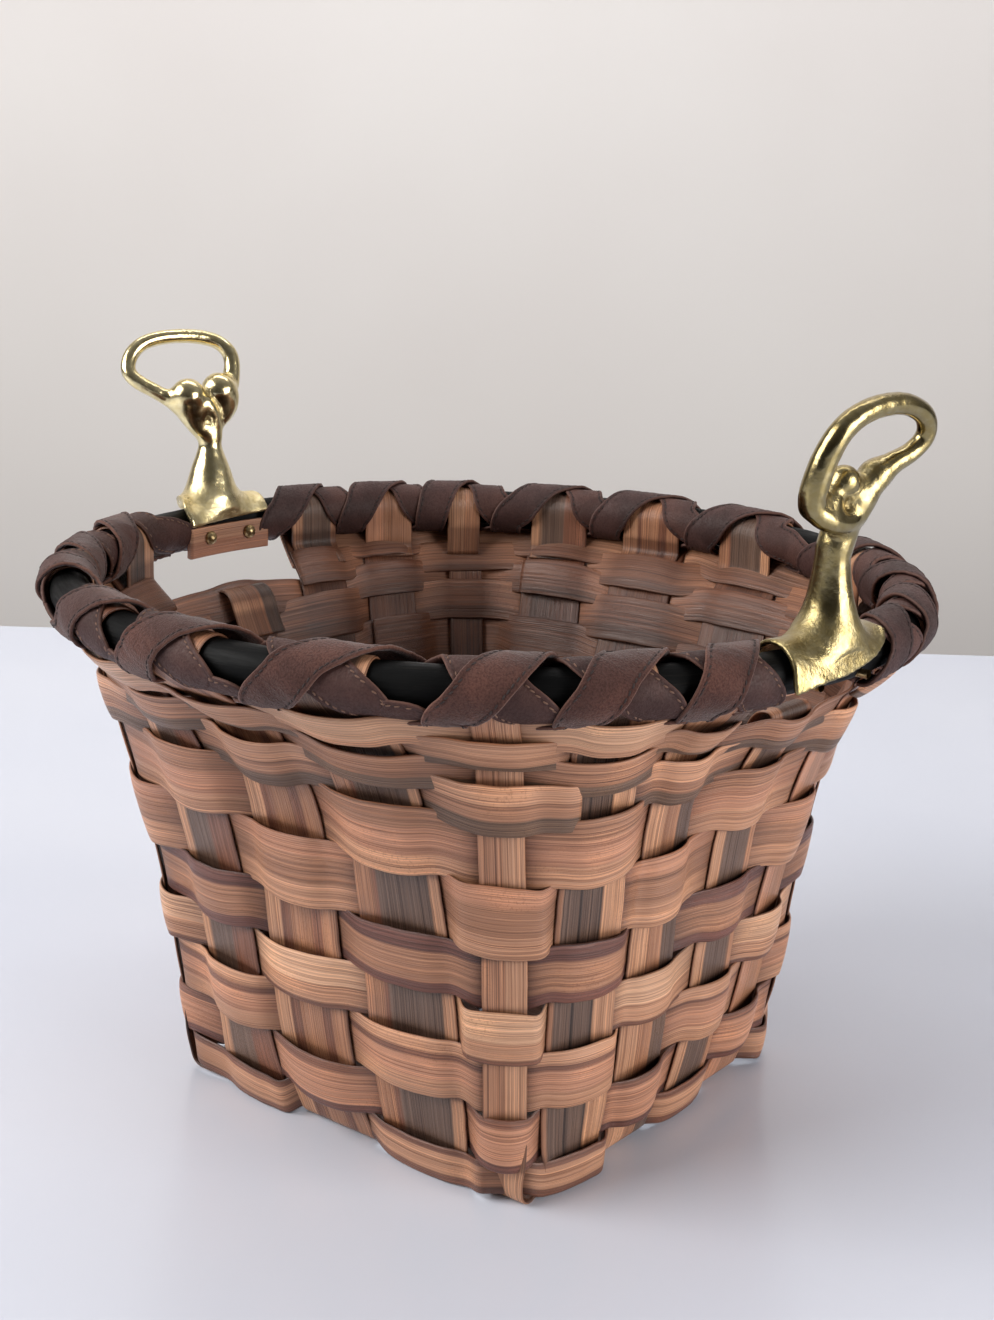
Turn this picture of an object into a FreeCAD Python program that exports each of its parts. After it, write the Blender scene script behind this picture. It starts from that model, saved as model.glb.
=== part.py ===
# Round-rimmed splint basket on a square base: plaited wood splints, a round rim
# hoop lashed with crossed leather straps, and two cast brass finger-loop handles.
# Millimetres, +Z up, origin on the floor under the centre of the rim hoop,
# +X towards the right-hand handle.
import FreeCAD, Part
import math
import os

V = FreeCAD.Vector
doc = FreeCAD.newDocument("splint_basket")

# ---------------------------------------------------------------- dimensions
sheet = doc.addObject("Spreadsheet::Sheet", "Dimensions")
DIMS = [
    ("base_half", 80.6, "half side of the square base"),
    ("base_shift_x", 2.7, "base centre against rim centre, along X"),
    ("base_shift_y", 1.9, "base centre against rim centre, along Y"),
    ("rim_radius", 150.0, "centreline radius of the rim hoop"),
    ("rim_height", 191.0, "height of the rim hoop centreline"),
    ("rim_tube", 7.0, "radius of the rim hoop's round section"),
    ("splint", 1.1, "thickness of every wood splint"),
    ("lift", 1.5, "layer step where two splints cross in the base"),
    ("bend", 5.0, "bend radius where base turns up into wall"),
    ("bulge_edge", 1.6, "stand-off of a weaver at an upright's edges"),
    ("bulge_mid", 4.2, "stand-off of a weaver at an upright's middle"),
    ("bulge_top", 2.9, "the same in the two narrow rows under the rim"),
    ("collar_gap", 0.4, "clearance between rim hoop and a folded upright"),
    ("strap_thick", 1.5, "leather strap thickness"),
    ("strap_width", 15.5, "leather strap width where it lies open"),
    ("strap_pinch", 6.4, "leather strap width where it is bunched under the rim"),
    ("saddle_in", 8.6, "inner radius of the handle saddle"),
    ("saddle_out", 11.2, "outer radius of the handle saddle"),
    ("saddle_angle", 19.6, "arc of the rim covered by a saddle, degrees"),
    ("skirt_low", 185.2, "height of the saddle skirt's lower edge"),
    ("loop_bar", 3.2, "half thickness of the finger loop bar"),
    ("loop_half", 10.3, "half length of the loop's straight side"),
    ("loop_round", 13.0, "radius of the loop's round ends, to bar centre"),
    ("loop_height", 259.5, "height of the loop's centre"),
    ("loop_out", 160.0, "distance of the loop's centre from the axis"),
    ("loop_aside", 3.5, "loop's centre beside the stem, along the rim"),
    ("loop_lean", 24.0, "outward lean of the loop, degrees"),
    ("right_loop_tilt", 14.0, "tilt of the right loop in its own plane, degrees"),
    ("left_loop_tilt", -3.0, "tilt of the left loop in its own plane, degrees"),
    ("right_loop_turn", 12.0, "turn of the right loop away from the rim's run, degrees"),
    ("left_loop_turn", 25.0, "turn of the left loop away from the rim's run, degrees"),
    ("knot_ball", 7.6, "radius of the knot's two lobes"),
    ("knot_apart", 7.0, "half distance between the lobes"),
    ("knot_height", 246.0, "height of the lobes"),
    ("knot_out", 154.0, "distance of the lobes from the axis"),
    ("backing_in", 139.4, "inner radius of the wood backing strip"),
    ("backing_out", 142.6, "outer radius of the wood backing strip"),
    ("backing_low", 179.4, "lower edge of the backing strip"),
    ("backing_high", 192.0, "upper edge of the backing strip"),
    ("backing_angle", 17.4, "arc of a backing strip, degrees"),
    ("pin_shank", 1.5, "pin shank radius"),
    ("pin_head", 2.8, "pin dome radius"),
    ("pin_height", 187.2, "height of the pins"),
    ("pin_spread", 4.4, "half angle between the two pins, degrees"),
    ("pin_tip", 160.0, "distance of the pin tip from the axis"),
]
for k, (alias, value, words) in enumerate(DIMS):
    sheet.set("A%d" % (k + 1), words)
    sheet.set("B%d" % (k + 1), str(value))
    sheet.setAlias("B%d" % (k + 1), alias)
doc.recompute()


def dim(alias):
    return float(sheet.get(alias))


S = dim("base_half")
BX, BY = dim("base_shift_x"), dim("base_shift_y")
RR, RH, RT = dim("rim_radius"), dim("rim_height"), dim("rim_tube")
T = dim("splint")
LIFT = dim("lift")
BEND = dim("bend")

# ------------------------------------------------------------ smooth tables


def table(xs, ys):
    """Monotone cubic through a table of values."""
    n = len(xs)
    h = [xs[i + 1] - xs[i] for i in range(n - 1)]
    d = [(ys[i + 1] - ys[i]) / h[i] for i in range(n - 1)]
    m = [d[0]] + [0.0] * (n - 2) + [d[-1]]
    for i in range(1, n - 1):
        if d[i - 1] * d[i] > 0:
            w1, w2 = 2 * h[i] + h[i - 1], h[i] + 2 * h[i - 1]
            m[i] = (w1 + w2) / (w1 / d[i - 1] + w2 / d[i])

    def f(x):
        if x <= xs[0]:
            return ys[0]
        if x >= xs[-1]:
            return ys[-1]
        i = 0
        while x > xs[i + 1]:
            i += 1
        t = (x - xs[i]) / h[i]
        return ((1 + 2 * t) * (1 - t) ** 2 * ys[i] + t * (1 - t) ** 2 * h[i] * m[i]
                + t * t * (3 - 2 * t) * ys[i + 1] + t * t * (t - 1) * h[i] * m[i + 1])
    return f


# flare of the wall from base edge (0) to rim (1), at the corners and mid-face
flare_corner = table([0, 45, 90, 130, 160, 191], [0, .155, .325, .554, .743, 1])
flare_face = table([0, 45, 90, 130, 160, 191], [0, .173, .267, .383, .612, 1])

# ---------------------------------------------------------------- uprights
# name, base x, base y, azimuth at the rim, width, does it reach the rim
UPRIGHTS = [
    ("C0", 71.0, -S, -52.0, 14.5, True),
    ("R1", S, -57.0, -38.5, 28.0, True),
    ("R2", S, -22.6, -25.0, 26.5, True),
    ("R3", S, 11.8, -4.0, 27.0, False),
    ("R4", S, 43.5, 17.0, 25.0, True),
    ("C1", S, 71.0, 50.0, 14.5, True),
    ("N1", 38.7, S, 79.0, 36.0, True),
    ("N2", -4.7, S, 98.0, 34.0, True),
    ("N3", -41.8, S, 115.0, 32.0, True),
    ("C2", -71.0, S, 132.0, 14.5, True),
    ("M1", -S, 46.5, 145.5, 27.0, True),
    ("M2", -S, 15.5, 159.5, 27.0, True),
    ("M3", -S, -15.5, 179.0, 27.0, False),
    ("M4", -S, -46.5, 200.0, 27.0, True),
    ("C3", -S, -73.0, 229.0, 13.0, True),
    ("L3", -41.8, -S, 252.0, 32.0, True),
    ("L2", -4.7, -S, 269.0, 35.0, True),
    ("L1", 38.7, -S, 289.0, 37.0, True),
]
NU = len(UPRIGHTS)
INDEX = {u[0]: i for i, u in enumerate(UPRIGHTS)}
COLLAR = RT + dim("collar_gap") + T / 2.0     # radius of a folded upright's middle
Z_FLARE = 166.0                               # from here the uprights lean out to the rim


def base_xy(i):
    return UPRIGHTS[i][1] + BX, UPRIGHTS[i][2] + BY


def profile_xy(i, z):
    bx, by = base_xy(i)
    a = math.radians(UPRIGHTS[i][3])
    tx, ty = RR * math.cos(a), RR * math.sin(a)
    e = min(abs(UPRIGHTS[i][1]), abs(UPRIGHTS[i][2])) / S
    c = min(1.0, max(0.0, (e - 0.25) / 0.55))
    w = c * flare_corner(z) + (1 - c) * flare_face(z)
    return bx + (tx - bx) * w, by + (ty - by) * w


def tangent_to_rim(i):
    """Point where the leaning upright meets the circle it folds round."""
    x, y = profile_xy(i, Z_FLARE)
    r = math.hypot(x, y)
    dr, dz = RR - r, RH - Z_FLARE
    dist = math.hypot(dr, dz)
    ang = math.atan2(dz, dr) - math.asin(COLLAR / dist)
    run = math.sqrt(dist * dist - COLLAR * COLLAR)
    return r, r + run * math.cos(ang), Z_FLARE + run * math.sin(ang), ang - math.pi / 2


def wall_xy(i, z):
    if z <= Z_FLARE:
        return profile_xy(i, z)
    r0, r1, z1, _ = tangent_to_rim(i)
    x, y = profile_xy(i, Z_FLARE)
    a0 = math.atan2(y, x)
    a1 = math.radians(UPRIGHTS[i][3])
    while a1 - a0 > math.pi:
        a1 -= 2 * math.pi
    while a0 - a1 > math.pi:
        a1 += 2 * math.pi
    k = (z - Z_FLARE) / (z1 - Z_FLARE)
    r, a = r0 + (r1 - r0) * k, a0 + (a1 - a0) * min(1.0, k)
    return r * math.cos(a), r * math.sin(a)


def section_frame(i, z):
    """Middle of upright i at height z, tangent and outward normal of the section."""
    x, y = wall_xy(i, z)
    xa, ya = wall_xy((i - 1) % NU, z)
    xb, yb = wall_xy((i + 1) % NU, z)
    la, lb = math.hypot(x - xa, y - ya), math.hypot(xb - x, yb - y)
    tx = (x - xa) / la / la + (xb - x) / lb / lb
    ty = (y - ya) / la / la + (yb - y) / lb / lb
    n = math.hypot(tx, ty)
    t = V(tx / n, ty / n, 0)
    return V(x, y, z), t, V(t.y, -t.x, 0)


def upright_width(i, z):
    w = UPRIGHTS[i][4]
    return w * (1.0 - 0.20 * (z / RH) ** 2) if w > 20 else w


# ------------------------------------------------------------ ribbon solids


def bezier_inverse(k):
    """Matrix from k evenly spaced points across to the poles through them."""
    n = k - 1
    m = [[math.comb(n, j) * (i / n) ** j * (1 - i / n) ** (n - j) for j in range(k)] for i in range(k)]
    inv = [[1.0 if i == j else 0.0 for j in range(k)] for i in range(k)]
    for c in range(k):
        piv = max(range(c, k), key=lambda r: abs(m[r][c]))
        m[c], m[piv] = m[piv], m[c]
        inv[c], inv[piv] = inv[piv], inv[c]
        f = m[c][c]
        m[c] = [x / f for x in m[c]]
        inv[c] = [x / f for x in inv[c]]
        for r in range(k):
            if r != c:
                f = m[r][c]
                m[r] = [x - f * y for x, y in zip(m[r], m[c])]
                inv[r] = [x - f * y for x, y in zip(inv[r], inv[c])]
    return inv


def skin(lines, params):
    """Surface through long lines of points that share one parameter list."""
    curves = []
    for pts in lines:
        c = Part.BSplineCurve()
        c.interpolate(Points=pts, Parameters=params)
        curves.append(c)
    k = len(lines)
    inv = bezier_inverse(k)
    poles = []
    for i in range(1, curves[0].NbPoles + 1):
        column = [c.getPole(i) for c in curves]
        row = []
        for m in range(k):
            p = V(0, 0, 0)
            for j in range(k):
                p += column[j] * inv[m][j]
            row.append(p)
        poles.append(row)
    s = Part.BSplineSurface()
    s.buildFromPolesMultsKnots(poles, curves[0].getMultiplicities(), [k, k], curves[0].getKnots(),
                               [0.0, 1.0], False, False, curves[0].Degree, k - 1)
    return s, poles


def cap(row0, row1):
    """End face between two rows of poles."""
    k = len(row0)
    s = Part.BSplineSurface()
    s.buildFromPolesMultsKnots([row0, row1], [2, 2], [k, k], [0.0, 1.0], [0.0, 1.0],
                               False, False, 1, k - 1)
    return s.toShape()


def ribbon_faces(outer, inner, cap_start=True, cap_end=True):
    """Faces of a ribbon between two grids of points, stations by points across."""
    mid = [(a[0] + a[-1] + b[0] + b[-1]) * 0.25 for a, b in zip(outer, inner)]
    params = [0.0]
    for p, q in zip(mid, mid[1:]):
        params.append(params[-1] + max((q - p).Length, 0.05))
    params = [x / params[-1] for x in params]
    k = len(outer[0])
    lo = [[row[j] for row in outer] for j in range(k)]
    li = [[row[j] for row in inner] for j in range(k)]
    so, po = skin(lo, params)
    si, pi = skin(li, params)
    faces = []
    # long faces are laid out as a run of shorter ones
    cuts = list(range(0, len(params) - 1, 5)) + [len(params) - 1]
    if len(cuts) > 2 and cuts[-1] - cuts[-2] < 3:
        del cuts[-2]
    for whole in (so, si, skin([lo[0], li[0]], params)[0], skin([lo[-1], li[-1]], params)[0]):
        for a, b in zip(cuts, cuts[1:]):
            part = whole.copy()
            part.segment(params[a], params[b], 0.0, 1.0)
            faces.append(part.toShape())
    if cap_start:
        faces.append(cap(po[0], pi[0]))
    if cap_end:
        faces.append(cap(po[-1], pi[-1]))
    return faces


def sewn(faces):
    shell = Part.makeShell([f for face in faces for f in face.Faces])
    shell.sewShape(1e-3)
    if shell.ShapeType != "Shell":
        shell = shell.Shells[0]
    solid = Part.Solid(shell)
    if solid.Volume < 0:
        solid.reverse()
    return solid


def grid(stations, side):
    """Points on one side (+1 outer, -1 inner) of a ribbon.
    A station is middle, width direction, thickness direction, width."""
    rows = []
    for p, w, n, wide in stations:
        rows.append([p + w * (wide * k) + n * (side * T / 2.0) for k in (-0.5, 0.5)])
    return rows


def ribbon(stations, cap_start=True, cap_end=True):
    return ribbon_faces(grid(stations, 1), grid(stations, -1), cap_start, cap_end)


def add_feature(label, shape):
    obj = doc.addObject("Part::Feature", label)
    obj.Label = label
    obj.Shape = shape
    obj.Placement = shape.Placement
    return obj


PIECES = []


def keep(obj):
    PIECES.append(obj)
    return obj


# --------------------------------------------------- wall part of an upright


def upright_stations(i, start_dir):
    """Stations from the end of the base run, round the bend, up the wall,
    over the rim hoop and a short way down inside it."""
    name, _, _, az, _, to_rim = UPRIGHTS[i]
    bx, by = base_xy(i)
    d = start_dir                              # horizontal, outwards
    e0 = V(-d.y, d.x, 0)
    pts = []
    start = V(bx, by, T / 2.0) - d * BEND
    for k in range(0, 4):
        a = math.radians(k * 26.0)
        pts.append((start + d * (BEND * math.sin(a)) + V(0, 0, BEND * (1 - math.cos(a))), e0))
    tops = [16, 30, 45, 60, 75, 90, 105, 120, 134, 146]
    if to_rim:
        tops += [156, Z_FLARE]
    else:
        tops += [155, 161]
    for z in tops:
        p, t, n = section_frame(i, z)
        k = min(1.0, (z - 4) / 26.0)
        w = e0 * (1 - k) + t * k
        w.normalize()
        pts.append((p, w))
    if to_rim:
        a = math.radians(az)
        er, et = V(math.cos(a), math.sin(a), 0), V(-math.sin(a), math.cos(a), 0)
        r0, r1, z1, th0 = tangent_to_rim(i)
        for k in (0.5,):
            x, y = wall_xy(i, Z_FLARE + (z1 - Z_FLARE) * k)
            pts.append((V(x, y, Z_FLARE + (z1 - Z_FLARE) * k), et))
        th1 = math.radians(184.0)
        steps = 11
        for k in range(steps + 1):
            th = th0 + (th1 - th0) * k / steps
            pts.append((er * (RR + COLLAR * math.cos(th)) + V(0, 0, RH + COLLAR * math.sin(th)), et))
        last = pts[-1][0]
        pts.append((last + er * 0.3 + V(0, 0, -4.0), et))
        pts.append((last + er * 0.8 + V(0, 0, -8.0), et))
    else:
        # cut upright: folded inwards over the top hoop and tucked down inside
        p, t, n = section_frame(i, 161)
        up = (pts[-1][0] - pts[-2][0]).normalize()
        inn = V(-n.x, -n.y, 0)
        c = p + up * 5.2 + inn * 3.6
        for k in range(1, 6):
            th = math.pi * k / 5.5
            pts.append((c - inn * (3.6 * math.cos(th)) + up * (3.6 * math.sin(th)), t))
        last = pts[-1][0]
        pts.append((last - up * 8.0, t))
        pts.append((last - up * 18.0, t))
    # thickness direction from the path and the width direction
    out = []
    for k, (p, w) in enumerate(pts):
        a = pts[max(0, k - 1)][0]
        b = pts[min(len(pts) - 1, k + 1)][0]
        run = (b - a).normalize()
        if k == 0:
            run = d
        n = w.cross(run)
        n.normalize()
        wide = upright_width(i, 0.0 if k == 0 else min(p.z, RH))
        out.append((p, w, n, wide))
    return out


# --------------------------------------------------- base run of a U splint


def base_profile(length, marks):
    """Heights along a base run. marks: (from, to, layer) for each crossing."""
    line = [(0.0, 0.0)]
    for a, b, layer in marks:
        z = LIFT if layer else 0.0
        line.append((a, z))
        line.append((b, z))
    line.append((length, 0.0))
    return line


def base_faces(p0, p1, width0, width1, line, cap0=False, cap1=False):
    """Faces of a flat splint from p0 to p1 that steps over and under others."""
    d = (p1 - p0)
    length = d.Length
    d.normalize()
    e = V(-d.y, d.x, 0)
    faces = []

    def corner(s, z, side, up):
        w = width0 + (width1 - width0) * s / length
        return V(p0.x, p0.y, 0) + d * s + e * (side * w / 2.0) + V(0, 0, z + (T if up else 0.0))

    def quad(a, b, c, dd):
        return Part.Face(Part.makePolygon([a, b, c, dd, a]))
    for k in range(len(line) - 1):
        (s0, z0), (s1, z1) = line[k], line[k + 1]
        if s1 - s0 < 1e-6:
            continue
        for up in (False, True):
            faces.append(quad(corner(s0, z0, -1, up), corner(s1, z1, -1, up),
                              corner(s1, z1, 1, up), corner(s0, z0, 1, up)))
        for side in (-1, 1):
            faces.append(quad(corner(s0, z0, side, False), corner(s1, z1, side, False),
                              corner(s1, z1, side, True), corner(s0, z0, side, True)))
    for on, (s0, z0) in ((cap0, line[0]), (cap1, line[-1])):
        if on:
            faces.append(quad(corner(s0, z0, -1, False), corner(s0, z0, 1, False),
                              corner(s0, z0, 1, True), corner(s0, z0, -1, True)))
    return faces


# base grid: splints along X (a = 1..4 from front) and along Y (b = 1..3 from right)
CROSS = [("R1", "M4"), ("R2", "M3"), ("R3", "M2"), ("R4", "M1")]
LONG = [("L1", "N1"), ("L2", "N2"), ("L3", "N3")]


def x_is_high(a, b):
    return (a + b) % 2 == 0


def crossing(p, d, q, f):
    """Distance along p + s d where it meets the line q + t f."""
    den = d.x * f.y - d.y * f.x
    return ((q.x - p.x) * f.y - (q.y - p.y) * f.x) / den


def line_of(n0, n1):
    x0, y0 = base_xy(INDEX[n0])
    x1, y1 = base_xy(INDEX[n1])
    return V(x0, y0, 0), V(x1, y1, 0)


def half_width(pair):
    return max(UPRIGHTS[INDEX[pair[0]]][4], UPRIGHTS[INDEX[pair[1]]][4]) / 2.0


def corner_line(name, inward, reach):
    x, y = base_xy(INDEX[name])
    p = V(x, y, 0)
    return p, p + inward * reach


CORNERS = [
    # name, label, direction into the base, grid row or column, reach of the foot
    ("C0", "corner_stake_front", V(0, 1, 0), ("b", 0), 46.0),
    ("C1", "corner_stake_right", V(-1, 0, 0), ("a", 5), 68.0),
    ("C2", "corner_stake_back", V(0, -1, 0), ("b", 4), 60.0),
    ("C3", "corner_stake_left", V(1, 0, 0), ("a", 0), 55.0),
]


def marks_for(p0, p1, my_half, others):
    """Crossing spans along p0-p1. others: (q0, q1, half width, high, reach or None)."""
    d = (p1 - p0).normalize()
    length = (p1 - p0).Length
    marks = []
    for q0, q1, hw, high in others:
        f = (q1 - q0).normalize()
        s = crossing(p0, d, q0, f)
        t = (p0 + d * s - q0).dot(f)
        if t < -1.0 or t > (q1 - q0).Length + my_half:
            continue
        a, b = s - hw - 0.7, s + hw + 0.7
        if b < 1.0 or a > length - 1.0:
            continue
        marks.append((max(a, 0.3), min(b, length - 0.3), high))
    marks.sort()
    for k in range(len(marks) - 1):
        if marks[k + 1][0] - marks[k][1] < 0.6:
            raise RuntimeError("base splints too close: %s" % marks)
    return marks


def shorten(p0, p1, k0, k1):
    d = (p1 - p0).normalize()
    return p0 + d * k0, p1 - d * k1


# all flat runs in the base, as straight lines with their grid place
X_RUNS = []
for a, pair in enumerate(CROSS):
    q0, q1 = line_of(*pair)
    X_RUNS.append((q0, q1, half_width(pair), a + 1))
Y_RUNS = []
for b, pair in enumerate(LONG):
    q0, q1 = line_of(*pair)
    Y_RUNS.append((q0, q1, half_width(pair), b + 1))
for name, label, inward, place, reach in CORNERS:
    q0, q1 = corner_line(name, inward, reach)
    run = (q0, q1, UPRIGHTS[INDEX[name]][4] / 2.0, place[1])
    (X_RUNS if place[0] == "a" else Y_RUNS).append(run)


def make_u_splint(label, pair, along_x, grid_no):
    i0, i1 = INDEX[pair[0]], INDEX[pair[1]]
    p0, p1 = line_of(*pair)
    d = (p1 - p0).normalize()
    q0, q1 = shorten(p0, p1, BEND, BEND)
    w0, w1 = upright_width(i0, 0.0), upright_width(i1, 0.0)
    others = []
    for r0, r1, hw, no in (Y_RUNS if along_x else X_RUNS):
        high = x_is_high(grid_no, no) if along_x else not x_is_high(no, grid_no)
        others.append((r0, r1, hw, high))
    marks = marks_for(q0, q1, max(w0, w1) / 2.0, others)
    line = base_profile((q1 - q0).Length, marks)
    faces = base_faces(q0, q1, w0, w1, line)
    faces += ribbon(upright_stations(i0, d * -1.0), cap_start=False)
    faces += ribbon(upright_stations(i1, d), cap_start=False)
    return keep(add_feature(label, sewn(faces)))


for a, pair in enumerate(CROSS):
    make_u_splint("cross_splint_%d" % (a + 1), pair, True, a + 1)
for b, pair in enumerate(LONG):
    make_u_splint("long_splint_%d" % (b + 1), pair, False, b + 1)

for name, label, inward, place, reach in CORNERS:
    i = INDEX[name]
    p0, p1 = corner_line(name, inward, reach)
    q0 = p0 + inward * BEND
    w = UPRIGHTS[i][4]
    others = []
    for r0, r1, hw, no in (Y_RUNS if place[0] == "a" else X_RUNS):
        high = x_is_high(place[1], no) if place[0] == "a" else not x_is_high(no, place[1])
        others.append((r0, r1, hw, high))
    marks = marks_for(q0, p1, w / 2.0, others)
    z_end = LIFT if (marks and marks[-1][2] and marks[-1][1] > (p1 - q0).Length - 3) else 0.0
    line = base_profile((p1 - q0).Length, marks)
    line[-1] = (line[-1][0], z_end)
    faces = base_faces(q0, p1, w, w, line, cap1=True)
    faces += ribbon(upright_stations(i, inward * -1.0), cap_start=False)
    keep(add_feature(label, sewn(faces)))

# ---------------------------------------------------------------- weavers
ROWS = [(0.9, 15.5), (16.1, 36.0), (36.6, 58.4), (59.0, 76.4), (77.0, 98.4), (99.0, 121.9),
        (122.5, 145.6), (146.2, 157.6), (158.2, 165.6), (166.2, 172.3), (172.9, 179.3)]


def passes_outside(row, i):
    return (i + row) % 2 == 1


def weaver_edge(row, z, sequence, side, inset):
    """Points of one long edge of a weaver, three to each upright it passes."""
    pts = []
    for step, i0 in enumerate(sequence):
        i = i0 % NU
        p, t, n = section_frame(i, z)
        q, _, _ = section_frame(i, z + 1.0)
        slope = (q - p).dot(n)
        k = math.sqrt(1.0 + slope * slope)
        half = upright_width(i, z) / 2.0
        sign = 1.0 if passes_outside(row, i) else -1.0
        edge, mid = dim("bulge_edge"), dim("bulge_top" if row > 8 else "bulge_mid")
        if sign < 0:
            mid = edge + 0.35
        for lat, off in ((-half, edge), (0.0, mid), (half, edge)):
            pts.append(p + t * lat + n * ((sign * off + side * T / 2.0 + inset(step)) * k))
    return pts


def weaver_faces(row, sequence, inset, ends=None):
    z0, z1 = ROWS[row]
    lows = [weaver_edge(row, z0, sequence, s, inset) for s in (1, -1)]
    highs = [weaver_edge(row, z1, sequence, s, inset) for s in (1, -1)]
    outer = [[a, b] for a, b in zip(lows[0], highs[0])]
    inner = [[a, b] for a, b in zip(lows[1], highs[1])]
    return outer, inner


def full_hoop(row, start):
    """A hoop once round the basket whose two ends lap inside one upright."""
    seq = list(range(start, start + NU + 1))

    def inset(step):
        # the last pass lies one layer further in than the first one
        return -(T + 0.5) if step == NU else 0.0
    outer, inner = weaver_faces(row, seq, inset)
    return sewn(ribbon_faces(outer, inner))


# each hoop starts behind an upright that it passes on the inside, at the back
LAP = ["N2", "N1", "C2", "N3", "N2", "C1", "C2", "N1", "N2"]
for row in range(9):
    start = INDEX[LAP[row]]
    if passes_outside(row, start):
        start += 1
    keep(add_feature("weaver_row_%02d" % row, full_hoop(row, start)))

# the two top rows stop at the hand holes
SPANS = {"front": ("M4", "R2"), "back": ("R4", "M2")}
for row in (9, 10):
    for side in ("front", "back"):
        first, last = INDEX[SPANS[side][0]], INDEX[SPANS[side][1]]
        if last < first:
            last += NU
        outer, inner = weaver_faces(row, list(range(first, last + 1)), lambda step: 0.0)
        keep(add_feature("upper_weaver_%s_%02d" % (side, row), sewn(ribbon_faces(outer, inner))))

# ---------------------------------------------------------------- rim hoop
HANDLES = (("right", -9.0), ("left", 178.0))
hoop = doc.addObject("Part::Torus", "rim_hoop")
hoop.setExpression("Radius1", "Dimensions.rim_radius")
hoop.setExpression("Radius2", "Dimensions.rim_tube")
hoop.setExpression("Placement.Base.z", "Dimensions.rim_height")
# holes where the handle pins go through the hoop
drills = []
for side, az in HANDLES:
    for k, s in enumerate((-1.0, 1.0)):
        pa = math.radians(az + s * dim("pin_spread"))
        pr = V(math.cos(pa), math.sin(pa), 0)
        hole = doc.addObject("Part::Cylinder", "rim_%s_hole_%d" % (side, k + 1))
        hole.setExpression("Radius", "Dimensions.pin_shank")
        hole.Height = 24.0
        hole.Placement = FreeCAD.Placement(pr * (RR - 12.0) + V(0, 0, dim("pin_height")),
                                           FreeCAD.Rotation(V(0, 0, 1), pr))
        drills.append(hole)
rim_holes = doc.addObject("Part::MultiFuse", "rim_holes")
rim_holes.Shapes = drills
ring = doc.addObject("Part::Cut", "rim_ring")
ring.Base = hoop
ring.Tool = rim_holes
ring.Label = "rim_ring"
keep(ring)

# ---------------------------------------------------------------- lashings
ST, SW, SP = dim("strap_thick"), dim("strap_width"), dim("strap_pinch")
HUG = COLLAR + T / 2.0 + 0.35        # inner face of the inner strap over a fold
LOW = RT + 0.45                      # the same under the bare rim hoop


def strap_solid(names, outer_layer, reverse):
    seq = [INDEX[n] for n in names]
    az = [UPRIGHTS[i][3] for i in seq]
    for k in range(1, len(az)):
        while az[k] < az[k - 1]:
            az[k] += 360.0
    half = [math.degrees(upright_width(i, RH) / 2.0 / RR) for i in seq]
    gaps = [az[0] - half[0] - 0.6]
    for k in range(len(az) - 1):
        gaps.append(((az[k] + half[k]) + (az[k + 1] - half[k + 1])) / 2.0)
    gaps.append(az[-1] + half[-1] + 0.6)
    step = (ST + 0.35) if outer_layer else 0.0
    path = []                        # (lateral mm, theta deg, width, inner radius)
    order = range(len(az)) if not reverse else range(len(az) - 1, -1, -1)
    for k in order:
        g0, g1 = (gaps[k] - az[k]), (gaps[k + 1] - az[k])
        if reverse:
            g0, g1 = g1, g0
        s = 1.0 if g1 > g0 else -1.0
        h = half[k] + 1.7
        e0 = s * max(s * g0, -h)
        e1 = s * min(s * g1, h)
        knots = [-90, -52, -15, 30, 90, 150, 205, 240, 270]
        lat = [g0, e0, e0 * 0.62, 0.0, e1 * 0.40, e1 * 0.72, e1 * 0.97, g1, g1]
        # keep the table strictly moving one way
        f = table(knots, lat)
        wide = table([-90, -62, -20, 20, 170, 225, 250, 270],
                     [SP, SP + 0.4, SW * 0.86, SW, SW, SW * 0.75, SP + 0.3, SP])
        rad = table([-90, -70, -35, 200, 235, 252, 270],
                    [LOW, LOW, HUG, HUG, HUG, LOW, LOW])
        thetas = [-90, -72, -54, -36, -15, 5, 27, 50, 75, 100, 125, 150, 175, 198, 218, 236, 253]
        if k == order[-1]:
            thetas = thetas + [270]
        for th in thetas:
            path.append((math.radians(az[k] + f(th)) * RR, th, wide(th), rad(th) + step))
    # unwrap theta so that it grows along the strap
    pts = []
    turn = 0
    for j, (l, th, w, r) in enumerate(path):
        if j and th < path[j - 1][1]:
            turn += 360
        pts.append((l, th + turn, w, r))
    grids = ([], [])
    for j, (l, th, w, r) in enumerate(pts):
        a, b = pts[max(0, j - 1)], pts[min(len(pts) - 1, j + 1)]
        dl = b[0] - a[0]
        dt = math.radians(b[1] - a[1]) * r
        n = math.hypot(dl, dt)
        px, py = -dt / n, dl / n      # across the strap, on the unrolled hoop
        for g, radius in ((0, r + ST), (1, r)):
            row = []
            for k in (-0.5, -0.25, 0.0, 0.25, 0.5):
                ll = l + px * w * k
                tt = math.radians(th) + py * w * k / r
                aa = ll / RR
                rr = RR + radius * math.cos(tt)
                row.append(V(rr * math.cos(aa), rr * math.sin(aa), RH + radius * math.sin(tt)))
            grids[g].append(row)
    return sewn(ribbon_faces(grids[0], grids[1]))


FRONT = ["M4", "C3", "L3", "L2", "L1", "C0", "R1", "R2"]
BACK = ["R4", "C1", "N1", "N2", "N3", "C2", "M1", "M2"]
for side, names in (("front", FRONT), ("back", BACK)):
    keep(add_feature("lashing_%s_inner" % side, strap_solid(names, False, True)))
    keep(add_feature("lashing_%s_outer" % side, strap_solid(names, True, False)))

# ---------------------------------------------------------------- handles
SI, SO = dim("saddle_in"), dim("saddle_out")


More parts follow.
